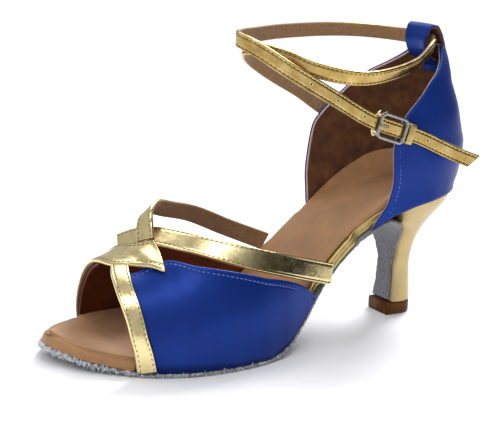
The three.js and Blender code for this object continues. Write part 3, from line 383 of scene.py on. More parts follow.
def over_sole(rows):
    """Points of a table over the sole."""
    return np.stack([-rows[:, 0] * LENGTH, rows[:, 1] * WIDTH, sole_z(rows[:, 0]) + rows[:, 2] * VAMP], -1)


def over_seat(rows, side, rise):
    """Points of a table over the seat of the heel."""
    return np.stack([-rows[:, 0] * LENGTH, side * WIDTH, RISE + rise * CUP_TALL], -1)


# Meshes

def piece(name, points, faces, materials, replaced=(), which=None):
    """A mesh object from points in millimetres, welded, faces outward, smooth, riding on the shoe."""
    mesh = bpy.data.meshes.new(name)
    mesh.from_pydata(((points.reshape(-1, 3) + OFFSET) / 1000).tolist(), [], faces.tolist())
    for material in materials:
        mesh.materials.append(material)
    if which is not None:
        mesh.polygons.foreach_set("material_index", which.astype(np.int32))
    grid = bmesh.new()
    grid.from_mesh(mesh)
    bmesh.ops.remove_doubles(grid, verts=grid.verts, dist=2e-6)
    bmesh.ops.dissolve_degenerate(grid, edges=grid.edges, dist=1e-6)
    bmesh.ops.recalc_face_normals(grid, faces=grid.faces)
    grid.to_mesh(mesh)
    grid.free()
    mesh.shade_smooth()
    made = bpy.data.objects.new(name, mesh)
    bpy.context.scene.collection.objects.link(made)
    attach(made, "root")
    if replaced:
        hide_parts(*replaced)
    return made


def quads(rows, sides, closed_rows=False, closed_sides=True):
    """Quads of a grid of points, row by row."""
    i = np.arange(rows if closed_rows else rows - 1)[:, None]
    j = np.arange(sides if closed_sides else sides - 1)[None, :]
    k, n = (i + 1) % rows, (j + 1) % sides
    return np.stack([i * sides + j, i * sides + n, k * sides + n, k * sides + j], -1).reshape(-1, 4)


def zipper(sides, row):
    """Quads that close the end of a swept section, from each point to the one opposite."""
    j = np.arange(sides // 2 - 1)
    base = row * sides
    return np.stack([base + j, base + j + 1, base + sides - 2 - j, base + sides - 1 - j], -1)


def sweep(name, grid, materials, replaced=(), sides=None, ring=False):
    """Closed piece through sections of points; sides gives the material of each strip of it."""
    rows, size = grid.shape[:2]
    faces = quads(rows, size, closed_rows=ring)
    which = np.tile(sides if sides is not None else np.zeros(size, int), rows if ring else rows - 1)
    if not ring:
        ends = np.vstack([zipper(size, 0), zipper(size, rows - 1)])
        faces = np.vstack([faces, ends])
        which = np.concatenate([which, np.full(len(ends), which.max())])
    return piece(name, grid, faces, materials, replaced, which)


def tube(path, radius, steps=10):
    """Sections of a round cord along a path of points, with ends that close."""
    run = unit(np.gradient(path, axis=0))
    turn = np.linspace(0, 2 * math.pi, steps, endpoint=False)
    side = unit(np.cross(run, [0.13, 0.21, 0.97]))
    up = np.cross(side, run)
    radius = np.broadcast_to(radius, len(path))[:, None, None]
    return path[:, None] + radius * (side[:, None] * np.cos(turn)[None, :, None]
                                     + up[:, None] * np.sin(turn)[None, :, None])


def rounded(width, thick, low, crown=0.12, groove=0.16, inset=STITCH_INSET, count=25):
    """Section of a folded and stitched strap: a crowned face, a groove at each row of stitches."""
    across = np.linspace(-width / 2, width / 2, count)
    edge_of = np.clip((width / 2 - np.abs(across)) / 0.45, 0, 1)
    fall = 1 - np.sqrt(1 - (1 - edge_of) ** 2)
    face = thick + crown - groove * np.exp(-((width / 2 - inset - np.abs(across)) / 0.32) ** 2)
    top = mix(face, thick * 0.5, fall)
    foot = thick * 0.5 * fall
    return np.concatenate([across, across[::-1]]), np.concatenate([top, foot[::-1]]) + low


def strap_sides(count=25):
    """Materials round that section: metal leather outside, lining inside."""
    return np.concatenate([np.zeros(count, int), np.ones(count, int)])


def dashes(name, centres, runs, normals, length, radius, material):
    """Stitches: a six-sided spindle for each centre, longest along its run."""
    t = np.array([-1, -0.72, 0.72, 1]) * length / 2
    r = np.array([0.02, 1, 1, 0.02]) * radius
    turn = np.linspace(0, 2 * math.pi, 6, endpoint=False)
    runs, normals = unit(runs), unit(normals)
    side = np.cross(runs, normals)
    points = (centres[:, None, None] + runs[:, None, None] * t[None, :, None, None]
              + side[:, None, None] * (r[:, None] * np.cos(turn))[None, :, :, None]
              + normals[:, None, None] * (r[:, None] * np.sin(turn))[None, :, :, None])
    caps = np.array([[0, 1, 2, 3], [0, 3, 4, 5], [21, 20, 19, 18], [23, 22, 21, 18]])
    one = np.vstack([quads(len(t), len(turn)), caps])
    first = np.arange(len(centres))[:, None, None] * len(t) * len(turn)
    faces = (one[None] + first).reshape(-1, 4)
    return piece(name, points, faces, [material])


def evenly(path, pitch, start, end):
    """Indexes along a dense path that lie one pitch apart."""
    run = np.concatenate([[0], np.cumsum(np.linalg.norm(np.diff(path, axis=0), axis=1))])
    return np.searchsorted(run, np.arange(start, run[-1] - end, pitch))


# Materials

def colour(code):
    """Linear colour of an sRGB hex code."""
    parts = [int(code[k:k + 2], 16) / 255 for k in (0, 2, 4)]
    return tuple(c / 12.92 if c <= 0.04045 else ((c + 0.055) / 1.055) ** 2.4 for c in parts) + (1.0,)


def add(tree, kind, inputs, **settings):
    """A node with its settings; each input gets a value or a link."""
    node = tree.nodes.new(kind)
    for name, value in settings.items():
        setattr(node, name, value)
    for name, value in inputs.items():
        if isinstance(value, bpy.types.NodeSocket):
            tree.links.new(value, node.inputs[name])
        else:
            node.inputs[name].default_value = value
    return node


def ramp(tree, value, stops):
    """Colours at places from 0 to 1, mixed between them."""
    node = add(tree, "ShaderNodeValToRGB", {"Fac": value})
    for k, (place, code) in enumerate(stops):
        stop = node.color_ramp.elements[k] if k < 2 else node.color_ramp.elements.new(place)
        stop.position = place
        stop.color = colour(code)
    return node.outputs["Color"]


def noise(tree, where, size_mm, detail, rough):
    """Noise whose blotches are about size_mm across."""
    return add(tree, "ShaderNodeTexNoise", {"Vector": where, "Scale": 1000 / size_mm, "Detail": detail,
                                            "Roughness": rough}).outputs["Fac"]


def surface(name, stops, blotch, rough, grain, depth_mm, weave=None, **uniform):
    """A material: mottled colour, roughness that follows the mottling, and a fine grain or weave."""
    material = bpy.data.materials.new(name)
    material.use_nodes = True
    tree = material.node_tree
    tree.nodes.clear()
    where = add(tree, "ShaderNodeTexCoord", {}).outputs["Object"]
    mottle = noise(tree, where, blotch, 4.0, 0.6)
    height = noise(tree, where, grain, 3.0, 0.65)
    if weave:
        threads = add(tree, "ShaderNodeTexWave", {"Vector": where, "Scale": 1000 / (weave * 20)},
                      bands_direction="DIAGONAL").outputs["Fac"]
        height = add(tree, "ShaderNodeMath", {0: height, 1: threads}, operation="MULTIPLY").outputs[0]
    bump = add(tree, "ShaderNodeBump", {"Height": height, "Distance": depth_mm / 1000, "Strength": 1.0})
    rough_of = add(tree, "ShaderNodeMapRange", {"Value": mottle, "From Min": 0.3, "From Max": 0.7,
                                                "To Min": rough[0], "To Max": rough[1]}).outputs["Result"]
    shader = add(tree, "ShaderNodeBsdfPrincipled", {
        "Base Color": ramp(tree, mottle, stops), "Roughness": rough_of,
        "Normal": bump.outputs["Normal"], **uniform})
    add(tree, "ShaderNodeOutputMaterial", {"Surface": shader.outputs["BSDF"]})
    return material


# What each surface is made of. Blotch and grain sizes are real millimetres; the weave is drawn twice
# as coarse as real satin, because the real one is finer than the picture shows.
LOOKS = {
    # Dyed duchess satin: deep blue with a soft, wide highlight
    "blue_satin": dict(
        stops=[(0.25, "152d76"), (0.75, "1b3b8e")], blotch=30, rough=(0.33, 0.36), grain=0.5,
        depth_mm=0.006, weave=0.3, Metallic=0.4, **{
            "Specular IOR Level": 0.12, "Sheen Weight": 0.03, "Sheen Tint": colour("4f86e8")}),
    # Foil-faced kid leather: pale gold mirror broken by fine crinkles
    "gold_foil": dict(
        stops=[(0.2, "d9c588"), (0.6, "ead9a4"), (0.9, "f4e9c4")], blotch=5, rough=(0.16, 0.26),
        grain=2.2, depth_mm=0.06, Metallic=1.0),
    # The same foil on the ankle strap, painted darker: painted shade and dark reflection standing for the
    # dark studio side its faces mirror
    "gold_foil_shaded": dict(
        stops=[(0.25, "94793f"), (0.55, "b59a5e"), (0.85, "d6c08a")], blotch=7, rough=(0.16, 0.28),
        grain=2.2, depth_mm=0.06, Metallic=1.0),
    # Foil on the wrapped board: duller, scuffed by lasting
    "gold_rim": dict(
        stops=[(0.2, "a58d52"), (0.8, "cdb67c")], blotch=3, rough=(0.28, 0.45), grain=1.2,
        depth_mm=0.05, Metallic=0.9),
    # Heel cover: the same foil leather drawn tight, a little duller
    "heel_gold": dict(
        stops=[(0.2, "ab966a"), (0.8, "c2ad7e")], blotch=8, rough=(0.26, 0.36), grain=1.6,
        depth_mm=0.02, Metallic=0.95),
    # Back of the straps: napped tan lining leather
    "strap_lining": dict(
        stops=[(0.25, "83603a"), (0.75, "a8845c")], blotch=1.5, rough=(0.7, 0.85), grain=0.4,
        depth_mm=0.06, **{"Sheen Weight": 0.2}),
    # Padded sock: soft tan leather with a faint darker cloud and a fine pore grain
    "tan_sock": dict(
        stops=[(0.2, "845f3a"), (0.55, "9e7145"), (0.85, "ae8050")], blotch=12, rough=(0.52, 0.66),
        grain=0.55, depth_mm=0.04, **{"Sheen Weight": 0.15, "Sheen Roughness": 0.5}),
    # Counter lining: brushed brown suede, cloudy where the nap turns
    "cup_lining": dict(
        stops=[(0.25, "3a1e0e"), (0.5, "5a3419"), (0.8, "7a4c2b")], blotch=6, rough=(0.8, 0.95),
        grain=0.6, depth_mm=0.08, **{"Sheen Weight": 0.35, "Sheen Tint": colour("b98a60")}),
    # Vamp lining: smooth red-brown leather
    "vamp_lining": dict(
        stops=[(0.25, "4a1c06"), (0.8, "74340f")], blotch=8, rough=(0.5, 0.65), grain=0.7,
        depth_mm=0.04),
    # Chrome suede of the sole: grey, with a loose pale nap
    "sole_suede": dict(
        stops=[(0.2, "505257"), (0.5, "74767b"), (0.85, "a3a5aa")], blotch=1.2, rough=(0.85, 1.0),
        grain=0.45, depth_mm=0.22, **{"Sheen Weight": 0.5, "Sheen Roughness": 0.6}),
    # Torn fibres along the cut of that suede, nearly white where the light comes through
    "suede_fibre": dict(
        stops=[(0.2, "b4b7bd"), (0.8, "f0f1f4")], blotch=0.8, rough=(0.8, 1.0), grain=0.3,
        depth_mm=0.02, **{"Sheen Weight": 0.6}),
    # The suede's flap on the heel, darker where its nap is pressed flat
    "flap_suede": dict(
        stops=[(0.2, "515156"), (0.55, "78787e"), (0.9, "a2a2a8")], blotch=1.1, rough=(0.8, 0.95),
        grain=0.45, depth_mm=0.18, **{"Sheen Weight": 0.3}),
    # Stitching thread in the gold: waxed brown, sunk in its hole. The same dark brown fills the ankle
    # strap's punched holes as painted shade
    "brown_thread_and_hole_shade": dict(
        stops=[(0.3, "2e2008"), (0.8, "54401a")], blotch=0.6, rough=(0.4, 0.6), grain=0.2,
        depth_mm=0.02),
    # Stitching thread in the satin: bright blue polyester
    "blue_thread": dict(
        stops=[(0.3, "4866b8"), (0.8, "7f9be0")], blotch=0.6, rough=(0.3, 0.5), grain=0.2,
        depth_mm=0.02, **{"Sheen Weight": 0.3}),
    # Bound edge of the cup's lining: pale pink-beige tape
    "edge_tape": dict(
        stops=[(0.3, "a98c80"), (0.8, "d3bcae")], blotch=1.5, rough=(0.45, 0.6), grain=0.35,
        depth_mm=0.03, **{"Sheen Weight": 0.2}),
    # Nickel-plated buckle: dark mirror with faint handling marks
    "nickel": dict(
        stops=[(0.3, "7e7c76"), (0.8, "a9a69c")], blotch=2.5, rough=(0.12, 0.24), grain=1.5,
        depth_mm=0.008, Metallic=1.0),
    # Top piece of the heel: brown nylon-rubber
    "tip_rubber": dict(
        stops=[(0.3, "4a2a0c"), (0.8, "704719")], blotch=3, rough=(0.42, 0.58), grain=0.5,
        depth_mm=0.03, **{"Specular IOR Level": 0.15}),
    # Studio floor: white matt board
    "floor_white": dict(
        stops=[(0.3, "f3f3f5"), (0.8, "f7f7f9")], blotch=60, rough=(0.8, 0.9), grain=2.0,
        depth_mm=0.004, **{"Specular IOR Level": 0.08}),
}


def look(name):
    """The material of that name, made when it is first asked for."""
    return bpy.data.materials.get("look_" + name) or surface("look_" + name, **LOOKS[name])


def looks(*names):
    """Several materials."""
    return [look(name) for name in names]


# Sole

def layer(name, rows, inset, materials, replaced, steps=220):
    """Closed layer of the sole: rows of (share to the middle, further inset, height) round the rim."""
    turn = np.linspace(0, 2, 2 * steps, endpoint=False)
    along = np.where(turn <= 1, turn, 2 - turn)
    side = np.where(turn <= 1, -1, 1)
    at = at_of(along)
    lines = []
    for share, further, height in rows:
        total = inset(at) + (further(at) if callable(further) else further)
        own, other = edge(along, side, total), edge(along, -side, total)
        flat = mix(own, (own + other) / 2, share)
        lines.append(on_sole(-flat[:, 0] / LENGTH, flat[:, 1], height(at) if callable(height) else height))
    faces = quads(2 * steps, len(rows), closed_rows=True, closed_sides=False)
    return piece(name, np.stack(lines, 1), faces, materials, replaced)


def board_inset(at):
    """Inset of the board: inside the cup and the vamp, full width in the waist."""
    in_cup = 1 - ease(at, CUP_FRONT, CUP_FRONT + 0.014)
    in_vamp = ease(at, PANEL_BACK - 0.04, PANEL_BACK - 0.025)
    return CUP_INSET * in_cup + VAMP_INSET * in_vamp


def build_board():
    """Insole board: a slab wrapped in gold, rounded at its top edge, with a groove along its side."""
    low, high = BOARD_LOW, BOARD_HIGH
    rows = [(1, 0, high), (0.6, 0, high), (0.25, 0, high), (0, 1.6, high), (0, 0.6, high - 0.08),
            (0, 0.15, high - 0.4), (0, 0, high - 0.9), (0, 0, high - 1.7), (0, 0.12, high - 2.0),
            (0, 0.45, high - 2.15), (0, 0.45, high - 2.35), (0, 0.1, high - 2.5), (0, 0.02, high - 3.2),
            (0, 0.1, low + 0.5), (0, 0.5, low), (0, 1.5, low), (0.5, 0, low), (1, 0, low)]
    layer("board_wrap", rows, board_inset, looks("gold_rim"), ["insole_board"])


def build_sock():
    """Padded sock: flush in the waist, dished in the heel cup, rolled down over the open toe."""
    def toe(at):
        return ease(at, 0.872, 0.882)

    def cupped(at):
        return 1 - ease(at, 0.12, CUP_FRONT)

    def inset(at):
        behind = ease(at, CUP_FRONT - 0.01, CUP_FRONT + 0.02)
        ahead = 1 - ease(at, PANEL_BACK - 0.06, PANEL_BACK - 0.03)
        return mix(board_inset(at) + 1.8 * (behind * ahead) + CLEAR * cupped(at), FEATHER, toe(at))

    def top(share, drop, toe_drop):
        return lambda at: (BOARD_HIGH + 1.6 + 9 * cupped(at) * (1 - share) ** 4
                           - mix(drop, toe_drop, toe(at)))

    def back(far, toe_far):
        return lambda at: mix(far, toe_far * (1 - 0.6 * ease(at, 0.965, 1)), toe(at))

    def under(at):
        return mix(BOARD_HIGH + CLEAR, BOARD_LOW, toe(at))

    shares = [1, 0.85, 0.7, 0.55, 0.42, 0.3, 0.2, 0.12, 0.06]
    rows = [(share, back(1.6, 4.4), top(share, 0, 1.2 * (1 - share) ** 5)) for share in shares]
    rows += [(0, back(1.6, 4.4), top(0, 0.02, 1.2)), (0, back(1.3, 3.0), top(0, 0.05, 1.5)),
             (0, back(1.0, 1.9), top(0, 0.1, 1.9)), (0, back(0.7, 1.1), top(0, 0.2, 2.35)),
             (0, back(0.35, 0.5), top(0, 0.4, 2.9)), (0, back(0.1, 0.15), top(0, 0.65, 3.5)),
             (0, 0.03, top(0, 0.9, 4.2))]
    rows += [(0, 0.03, lambda at: under(at) + 0.25), (0, 0.2, under), (0, 1.7, under),
             (0, 1.7, BOARD_HIGH + CLEAR), (0.5, 0, BOARD_HIGH + CLEAR), (1, 0, BOARD_HIGH + CLEAR)]
    made = layer("sock_leather", rows, inset, looks("tan_sock"), ["insole_sock"], steps=260)


def rungs():
    """Rungs of the suede sole: x, z and both sides, up the flap on a spline and on to the toe."""
    join = on_sole(FLAP_JOIN, 0, 0)
    half = -edge_side(np.array(FLAP_JOIN), -1, 0.6)
    points = np.stack([-FLAP[:, 0] * LENGTH, FLAP[:, 2] * WIDTH, FLAP[:, 1] * RISE], -1)
    points = np.vstack([points, [join[0], half, join[2]]])
    flap = spline(points, np.linspace(0, 1, FLAP_STEPS, endpoint=False))
    along = np.linspace(along_of(FLAP_JOIN), 1, SOLE_STEPS)
    at = at_of(along)
    inset = 0.6 * (1 - ease(at, 0.45, 0.55))
    x = np.concatenate([flap[:, 0], -at * LENGTH])
    z = np.concatenate([flap[:, 2], sole_z(at)])
    outer = np.concatenate([-flap[:, 1], outline(along, -1)[:, 1] + inset])
    inner = np.concatenate([flap[:, 1], outline(along, 1)[:, 1] - inset])
    return x, z, outer, inner


def build_suede(fray, chance):
    """Suede sole: each rung is a thin closed section, whose cut ends wander with smoothed noise."""
    x, z, outer, inner = rungs()
    count, across, smooth = len(x), 15, 3
    bevel, shift, spare = 0.35, 5, 8
    draws = chance.normal(0, 1, count + spare)
    rough = np.convolve(draws, np.ones(smooth) / smooth, "valid")[:count] * fray
    flap_rough = np.where(np.arange(count) < FLAP_STEPS, 1.6, 1)
    shrink = np.clip((inner - outer) / 8, 0, 1)
    dx, dz = np.gradient(x), np.gradient(z)
    size = np.hypot(dx, dz)
    nx, nz = dz / size, -dx / size
    share = np.concatenate([np.linspace(0, 1, across), np.linspace(1, 0, across)])
    depth = np.repeat([0.0, SOLE_THICK], across)
    ends = np.array([0, across - 1, across, 2 * across - 1])
    depth[ends] = [bevel, bevel, SOLE_THICK - bevel, SOLE_THICK - bevel]
    reach = np.where(np.isin(np.arange(2 * across), ends), 1.0, 0.35)
    wander = (rough * flap_rough * shrink)[:, None] * reach
    y = mix(outer[:, None] - wander, inner[:, None] + np.roll(wander, shift, 0), share[None])
    height = np.maximum(z[:, None] + nz[:, None] * depth, 0)
    grid = np.stack([x[:, None] + nx[:, None] * depth, y, height], -1)
    faces = np.vstack([quads(count, 2 * across), zipper(2 * across, 0), zipper(2 * across, count - 1)])
    which = np.concatenate([np.repeat((np.arange(count - 1) < FLAP_STEPS).astype(int), 2 * across),
                            np.ones(across - 1, int), np.zeros(across - 1, int)])
    piece("suede_sole", grid, faces, looks("sole_suede", "flap_suede"), ["outsole"], which)


def build_fibres(fray, chance):
    """Torn fibres: spindles of random length along the sole's cut edge, thicker towards the toe."""
    amount, start, spindle, thin = 1500, along_of(0.44), 1.8, 0.13
    along = start + (1 - start) * chance.random(amount) ** 0.75
    side = np.where(chance.random(amount) < 0.5, -1, 1)
    here = edge(along, side, chance.uniform(0.1, 0.4, amount))
    out = edge(along, side, 0.0) - edge(along, side, 1.0)
    at = at_of(along)
    base = on_sole(at, here[:, 1], chance.uniform(0.15, SOLE_THICK, amount))
    base[:, 0] = here[:, 0]
    run = np.stack([out[:, 0], out[:, 1], chance.uniform(-1.3, 0.2, amount)], -1)
    run[:, :2] += chance.normal(0, 0.55, (amount, 2))
    length = np.minimum(0.25 + chance.exponential(0.5, amount), 2.0)
    length = length * mix(0.4, 1, ease(at, 0.7, 0.9)) * fray / 0.3
    run = unit(run)
    centre = base + run * (length - 0.8)[:, None]
    low = centre[:, 2] - np.abs(run[:, 2]) * spindle / 2 - 0.15
    centre[:, 2] += np.maximum(0, 0.01 - low)
    dashes("suede_fibres", centre, run, np.cross(run, [0.2, 0.1, 1.0]), spindle, thin,
           look("suede_fibre"))


# Vamp

def build_panel(side, name, replaced):
    """Side panel: the vamp skin with a wall, a folded hem along its top and a stitch row under it."""
    n = PANEL_TOP[:, 1] if side < 0 else PANEL_TOP[:, 2]
    at = np.linspace(PANEL_FRONT[side], PANEL_BACK, 150)[:, None]
    top = np.arcsin(lookup(PANEL_TOP[:, 0], n, at) ** (SQUARENESS[side] / 2))
    rows, middle = 44, PANEL_WALL / 2
    v = 1 - (1 - np.linspace(0, 1, rows)) ** 1.7
    outer = skin(at, side, top * v, PANEL_WALL)
    step = np.linalg.norm(np.diff(outer, axis=1), axis=2)
    down = np.concatenate([np.cumsum(step[:, ::-1], 1)[:, ::-1], np.zeros((len(at), 1))], 1)
    swell = 0.22 * (1 - ease(down, 1.9, 2.6)) - 0.2 * np.exp(-((down - HEM_DEPTH) / 0.4) ** 2)
    swell *= ease(down, 0, 0.6) * 0.7 + 0.3
    outer = skin(at, side, top * v, PANEL_WALL + swell)
    turn = np.linspace(0, math.pi, 7)[1:-1]
    lift = unit(skin(at, side, top + 0.01, middle) - skin(at, side, top - 0.01, middle))
    rim = skin(at, side, top, middle + 0.75 * np.cos(turn)) + lift * (0.5 * np.sin(turn))[None, :, None]
    inner = skin(at, side, top * v[::-1], 0)
    grid = np.concatenate([outer, rim, inner[:, :-1]], 1)
    strips = (np.arange(grid.shape[1]) >= rows + len(turn) // 2).astype(int)
    sweep(name, grid, looks("blue_satin", "vamp_lining"), replaced, strips)
    line = np.linspace(PANEL_FRONT[side] - 0.004, PANEL_BACK + 0.012, 900)
    high = np.arcsin(lookup(PANEL_TOP[:, 0], n, line) ** (SQUARENESS[side] / 2))
    step = skin(line, side, high, PANEL_WALL) - skin(line, side, high * 0.98, PANEL_WALL)
    arc = np.linalg.norm(step, axis=1) / 0.02
    angle = high * (1 - HEM_DEPTH / np.maximum(arc, 6))
    path = skin(line, side, angle, PANEL_WALL + 0.02)
    pick = evenly(path, SATIN_PITCH, 1, 1)
    normal = unit(skin(line, side, angle, 2) - skin(line, side, angle, 1))
    run = np.gradient(path, axis=0)
    dashes(name + "_stitches", path[pick], run[pick], normal[pick], 1.4, 0.17,
           look("blue_thread"))


def over_board(points):
    """Points lifted to the underside of the board where they lie below it."""
    floor = sole_rise(-points[..., 0] / LENGTH, BOARD_LOW)
    points[..., 2] = np.maximum(points[..., 2], floor)
    return points


def free_place(rows):
    """Placing function of a free strap: across and out from the route, out square to it."""
    points = over_sole(rows)

    def place(u, across, out):
        turn, lean = np.radians(column(rows, 3, u)), np.radians(column(rows, 4, u))
        run = heading(points, u)
        away = np.stack([np.cos(turn) * np.cos(lean), np.sin(turn) * np.cos(lean), np.sin(lean)], -1)
        away = unit(away - run * np.sum(away * run, -1, keepdims=True))
        over = np.cross(away, run)
        result = (spline(points, u) + away * np.asarray(out)[..., None]
                  + over * np.asarray(across)[..., None])
        return over_board(result)
    return place


def skin_place(rows, slant):
    """Placing function of a strap on the vamp skin: across on the skin, lifted over the panels."""
    points = over_sole(rows)

    def place(u, across, out):
        run = heading(points, u)
        centre = spline(points, u)
        over = unit(np.cross(skin_normal(centre), run))
        wide = column(rows, 4, u)
        end = ease(u, 1 - 2 / (len(rows) - 1), 1)
        centre = centre + over * (np.asarray(across) * wide)[..., None]
        centre = centre - run * (slant * end * across * 0.2)[..., None]
        lift = PANEL_WALL + CLEAR + STRAP_THICK * column(rows, 3, u) + 0.8
        result = onto_skin(centre, lift + out)
        return over_board(result)
    return place


def strap(name, place, width, thick, steps, pitch, replaced, foil="gold_foil"):
    """Strap: the stitched section carried along its route, with a row of stitches at both edges."""
    across, out = rounded(width, thick, -thick / 2)
    u = np.linspace(0, 1, steps)[:, None] * np.ones_like(across)[None]
    grid = place(u, np.broadcast_to(across, u.shape), np.broadcast_to(out, u.shape))
    sweep(name, grid, looks(foil, "strap_lining"), replaced, strap_sides())
    fine = np.linspace(0.004, 0.996, 2400)
    for k, line in enumerate((-1, 1)):
        where = np.full_like(fine, line * (width / 2 - STITCH_INSET))
        path = place(fine, where, np.full_like(fine, thick / 2 + 0.02))
        normal = path - place(fine, where, np.full_like(fine, 0.0))
        keep = path[:, 2] > sole_rise(-path[:, 0] / LENGTH, BOARD_LOW) + 0.4
        pick = evenly(path, pitch, 0.8, 0.8)
        pick = pick[keep[pick]]
        dashes(f"{name}_stitches_{k}", path[pick], np.gradient(path, axis=0)[pick], normal[pick],
               1.0, 0.2, look("brown_thread_and_hole_shade"))


def build_vamp_straps(pitch):
    """The four straps of the vamp, as gold bands that cross at the instep."""
    for name, place, width, steps, replaced in (
            ("strap_side", skin_place(SIDE_STRAP, 0), 8, 150, ["vamp_straps"]),
            ("strap_top", skin_place(TOP_STRAP, TAB_SLANT), 10, 190, ()),
            ("strap_long", free_place(LONG_STRAP), 10, 240, ()),
            ("strap_arch", free_place(ARCH_STRAP), 9, 240, ())):
        strap(name, place, width, STRAP_THICK, steps, pitch, replaced)


# Heel cup, loop and ankle strap

def moving(path):
    """Which points of a path lie apart from the one before."""
    return np.concatenate([[True], np.linalg.norm(np.diff(path, axis=0), axis=1) > 1e-4])


def build_counter():
    """Heel cup: satin outside, suede inside, a taped edge round its opening and a stitch row."""
    rim_steps = 400
    spread = np.linspace(-1, 1, 161)[:, None]
    place = mix(np.sin(spread * math.pi / 2), spread, 0.6)
    level = np.linspace(0, 1, 60)
    grid = np.concatenate([cup(place, level, 0.0), cup(place, level[::-1], CUP_WALL)], 1)
    sweep("cup_satin", grid, looks("blue_satin", "cup_lining"), ["counter"],
          strap_sides(len(level)))
    steps, one = np.linspace(0, 1, rim_steps), np.ones(rim_steps)
    sides = np.concatenate([-one, np.linspace(-1, 1, rim_steps), one])
    levels = np.concatenate([steps, one, steps[::-1]])
    for name, inset, radius, material in (("cup_tape", CUP_WALL - 0.2, 0.45, "edge_tape"),
                                          ("cup_fold", 0.55, 0.72, "blue_satin")):
        path = cup(sides, levels, inset)
        path = path[moving(path)]
        path = path[evenly(path, 0.7, 0, 0)]
        sweep(name, tube(path, radius), looks(material))
    rim = cup(sides, levels, 0.0)
    outward = unit(rim - cup(sides, levels, 0.5))
    move = moving(rim)
    rim, outward = rim[move], outward[move]
    run = unit(np.gradient(rim, axis=0))
    into = unit(np.cross(run, outward))
    path = rim + into * CUP_HEM_DEPTH - outward * 0.02
    pick = evenly(path, SATIN_PITCH, 4, 4)
    dashes("cup_stitches", path[pick], run[pick], outward[pick], 1.4, 0.2,
           look("blue_thread"))


def build_back_loop():
    """Back loop: a satin band along its route, curled by the square of the place across it."""
    points = over_seat(LOOP, np.zeros(len(LOOP)), LOOP[:, 1])
    across, out = rounded(LOOP_WIDTH, LOOP_THICK, -LOOP_THICK / 2, crown=0.1, groove=0.14, inset=1.6)
    u = np.linspace(0, 1, 120)[:, None] * np.ones_like(across)[None]
    centre, run = spline(points, u), heading(points, u)
    share = across / LOOP_WIDTH
    x = centre[..., 0] + out * run[..., 2] - column(LOOP, 2, u) * LENGTH * (2 * share) ** 2
    z = centre[..., 2] - out * run[..., 0]
    grid = np.stack([x, LOOP_WIDTH * column(LOOP, 3, u) * share, z], -1)
    sweep("loop_satin", grid, looks("blue_satin", "cup_lining"), ["back_loop"], strap_sides())


ANKLE_POINTS = over_seat(ANKLE, ANKLE[:, 1], ANKLE[:, 2])


def ankle_axes(u):
    """Axes of the ankle strap: forwards, outwards from the ankle, and up across it."""
    run = heading(ANKLE_POINTS, u)
    away = unit(np.cross(run, [0.0, 0.0, 1.0]))
    lean = np.radians(column(ANKLE, 3, u))[..., None]
    away = away * np.cos(lean) + np.cross(run, away) * np.sin(lean)
    return run, away, np.cross(away, run)


def ankle_place(u, across, out):
    """Placing function of the ankle strap; its last end is cut at a slant."""
    u, across, out = np.broadcast_arrays(np.asarray(u, float), across, out)
    run, away, up = ankle_axes(u)
    slant = END_SLANT * across / ANKLE_WIDTH * ease(u, 0.99, 1)
    return (spline(ANKLE_POINTS, u) + away * out[..., None] + up * across[..., None]
            + run * slant[..., None])


def on_last_run(at):
    """Place on the ankle strap's last run at a share of the shoe's length."""
    u = np.linspace(0.8, 1, 4001)
    return float(u[np.argmax(-spline(ANKLE_POINTS, u)[:, 0] / LENGTH < at)])


def build_ankle_strap(pitch):
    """Ankle strap: one long stitched band with punched holes along its last run, each a gold rim round a
    disc of painted shade.
    """
    # The ankle band takes the darker copy of the foil: painted shade for the dark reflections on its faces
    strap("ankle_band", ankle_place, ANKLE_WIDTH, ANKLE_THICK, 1100, pitch, ["ankle_strap"],
          "gold_foil_shaded")
    steps = 24
    for k, at in enumerate(STRAP_HOLES):
        u = np.array([on_last_run(at)])
        run, away, up = (v[0] for v in ankle_axes(u))
        centre = spline(ANKLE_POINTS, u)[0] + away * (ANKLE_THICK / 2 + 0.1)
        turn = np.linspace(0, 2 * math.pi, steps, endpoint=False)[:, None, None]
        small = np.linspace(0, 2 * math.pi, 8, endpoint=False)[None, :, None]
        ring = run * np.cos(turn) + up * np.sin(turn)
        rim = centre + ring * (0.72 + 0.2 * np.cos(small)) + away * 0.14 * np.sin(small)
        sweep(f"hole_rim_{k}", rim, looks("gold_foil"), ring=True)
        # Inside each hole a dark brown dish: painted shade for the hole's depth, since the strap itself is
        # not cut through
        radii = np.array([0.0, 0.3, 0.62, 0.62, 0.3, 0.0])[None, :, None]
        deep = np.array([0.02, 0.03, 0.06, -0.1, -0.1, -0.1])[None, :, None]
        dark = centre + ring * radii + away * deep
        faces = quads(steps, radii.shape[1], closed_rows=True, closed_sides=False)
        piece(f"hole_painted_shade_{k}", dark, faces, looks("brown_thread_and_hole_shade"))


# Buckle

def buckle_axes():
    """Origin and axes of the buckle on the ankle strap."""
    u = np.array([on_last_run(BUCKLE_AT)])
    run, away, up = (v[0] for v in ankle_axes(u))
    return spline(ANKLE_POINTS, u)[0], run, away, up


def in_buckle(forward, across, out):
    """Points given in the buckle's axes."""
    origin, run, away, up = buckle_axes()
    forward, across, out = np.broadcast_arrays(np.asarray(forward, float), across, out)
    return origin + forward[..., None] * run + across[..., None] * up + out[..., None] * away


def round_frame(length, width, corner, count=14):
    """Points and outward directions round a rectangle with round corners."""
    turn = np.linspace(0, math.pi / 2, count)
    points, away = [], []
    for k, (sx, sy) in enumerate(((1, 1), (-1, 1), (-1, -1), (1, -1))):
        angle = turn + k * math.pi / 2
        ray = np.stack([np.cos(angle), np.sin(angle)], -1)
        points.append(np.array([sx * (length / 2 - corner), sy * (width / 2 - corner)]) + corner * ray)
        away.append(ray)
    return np.vstack(points), np.vstack(away)


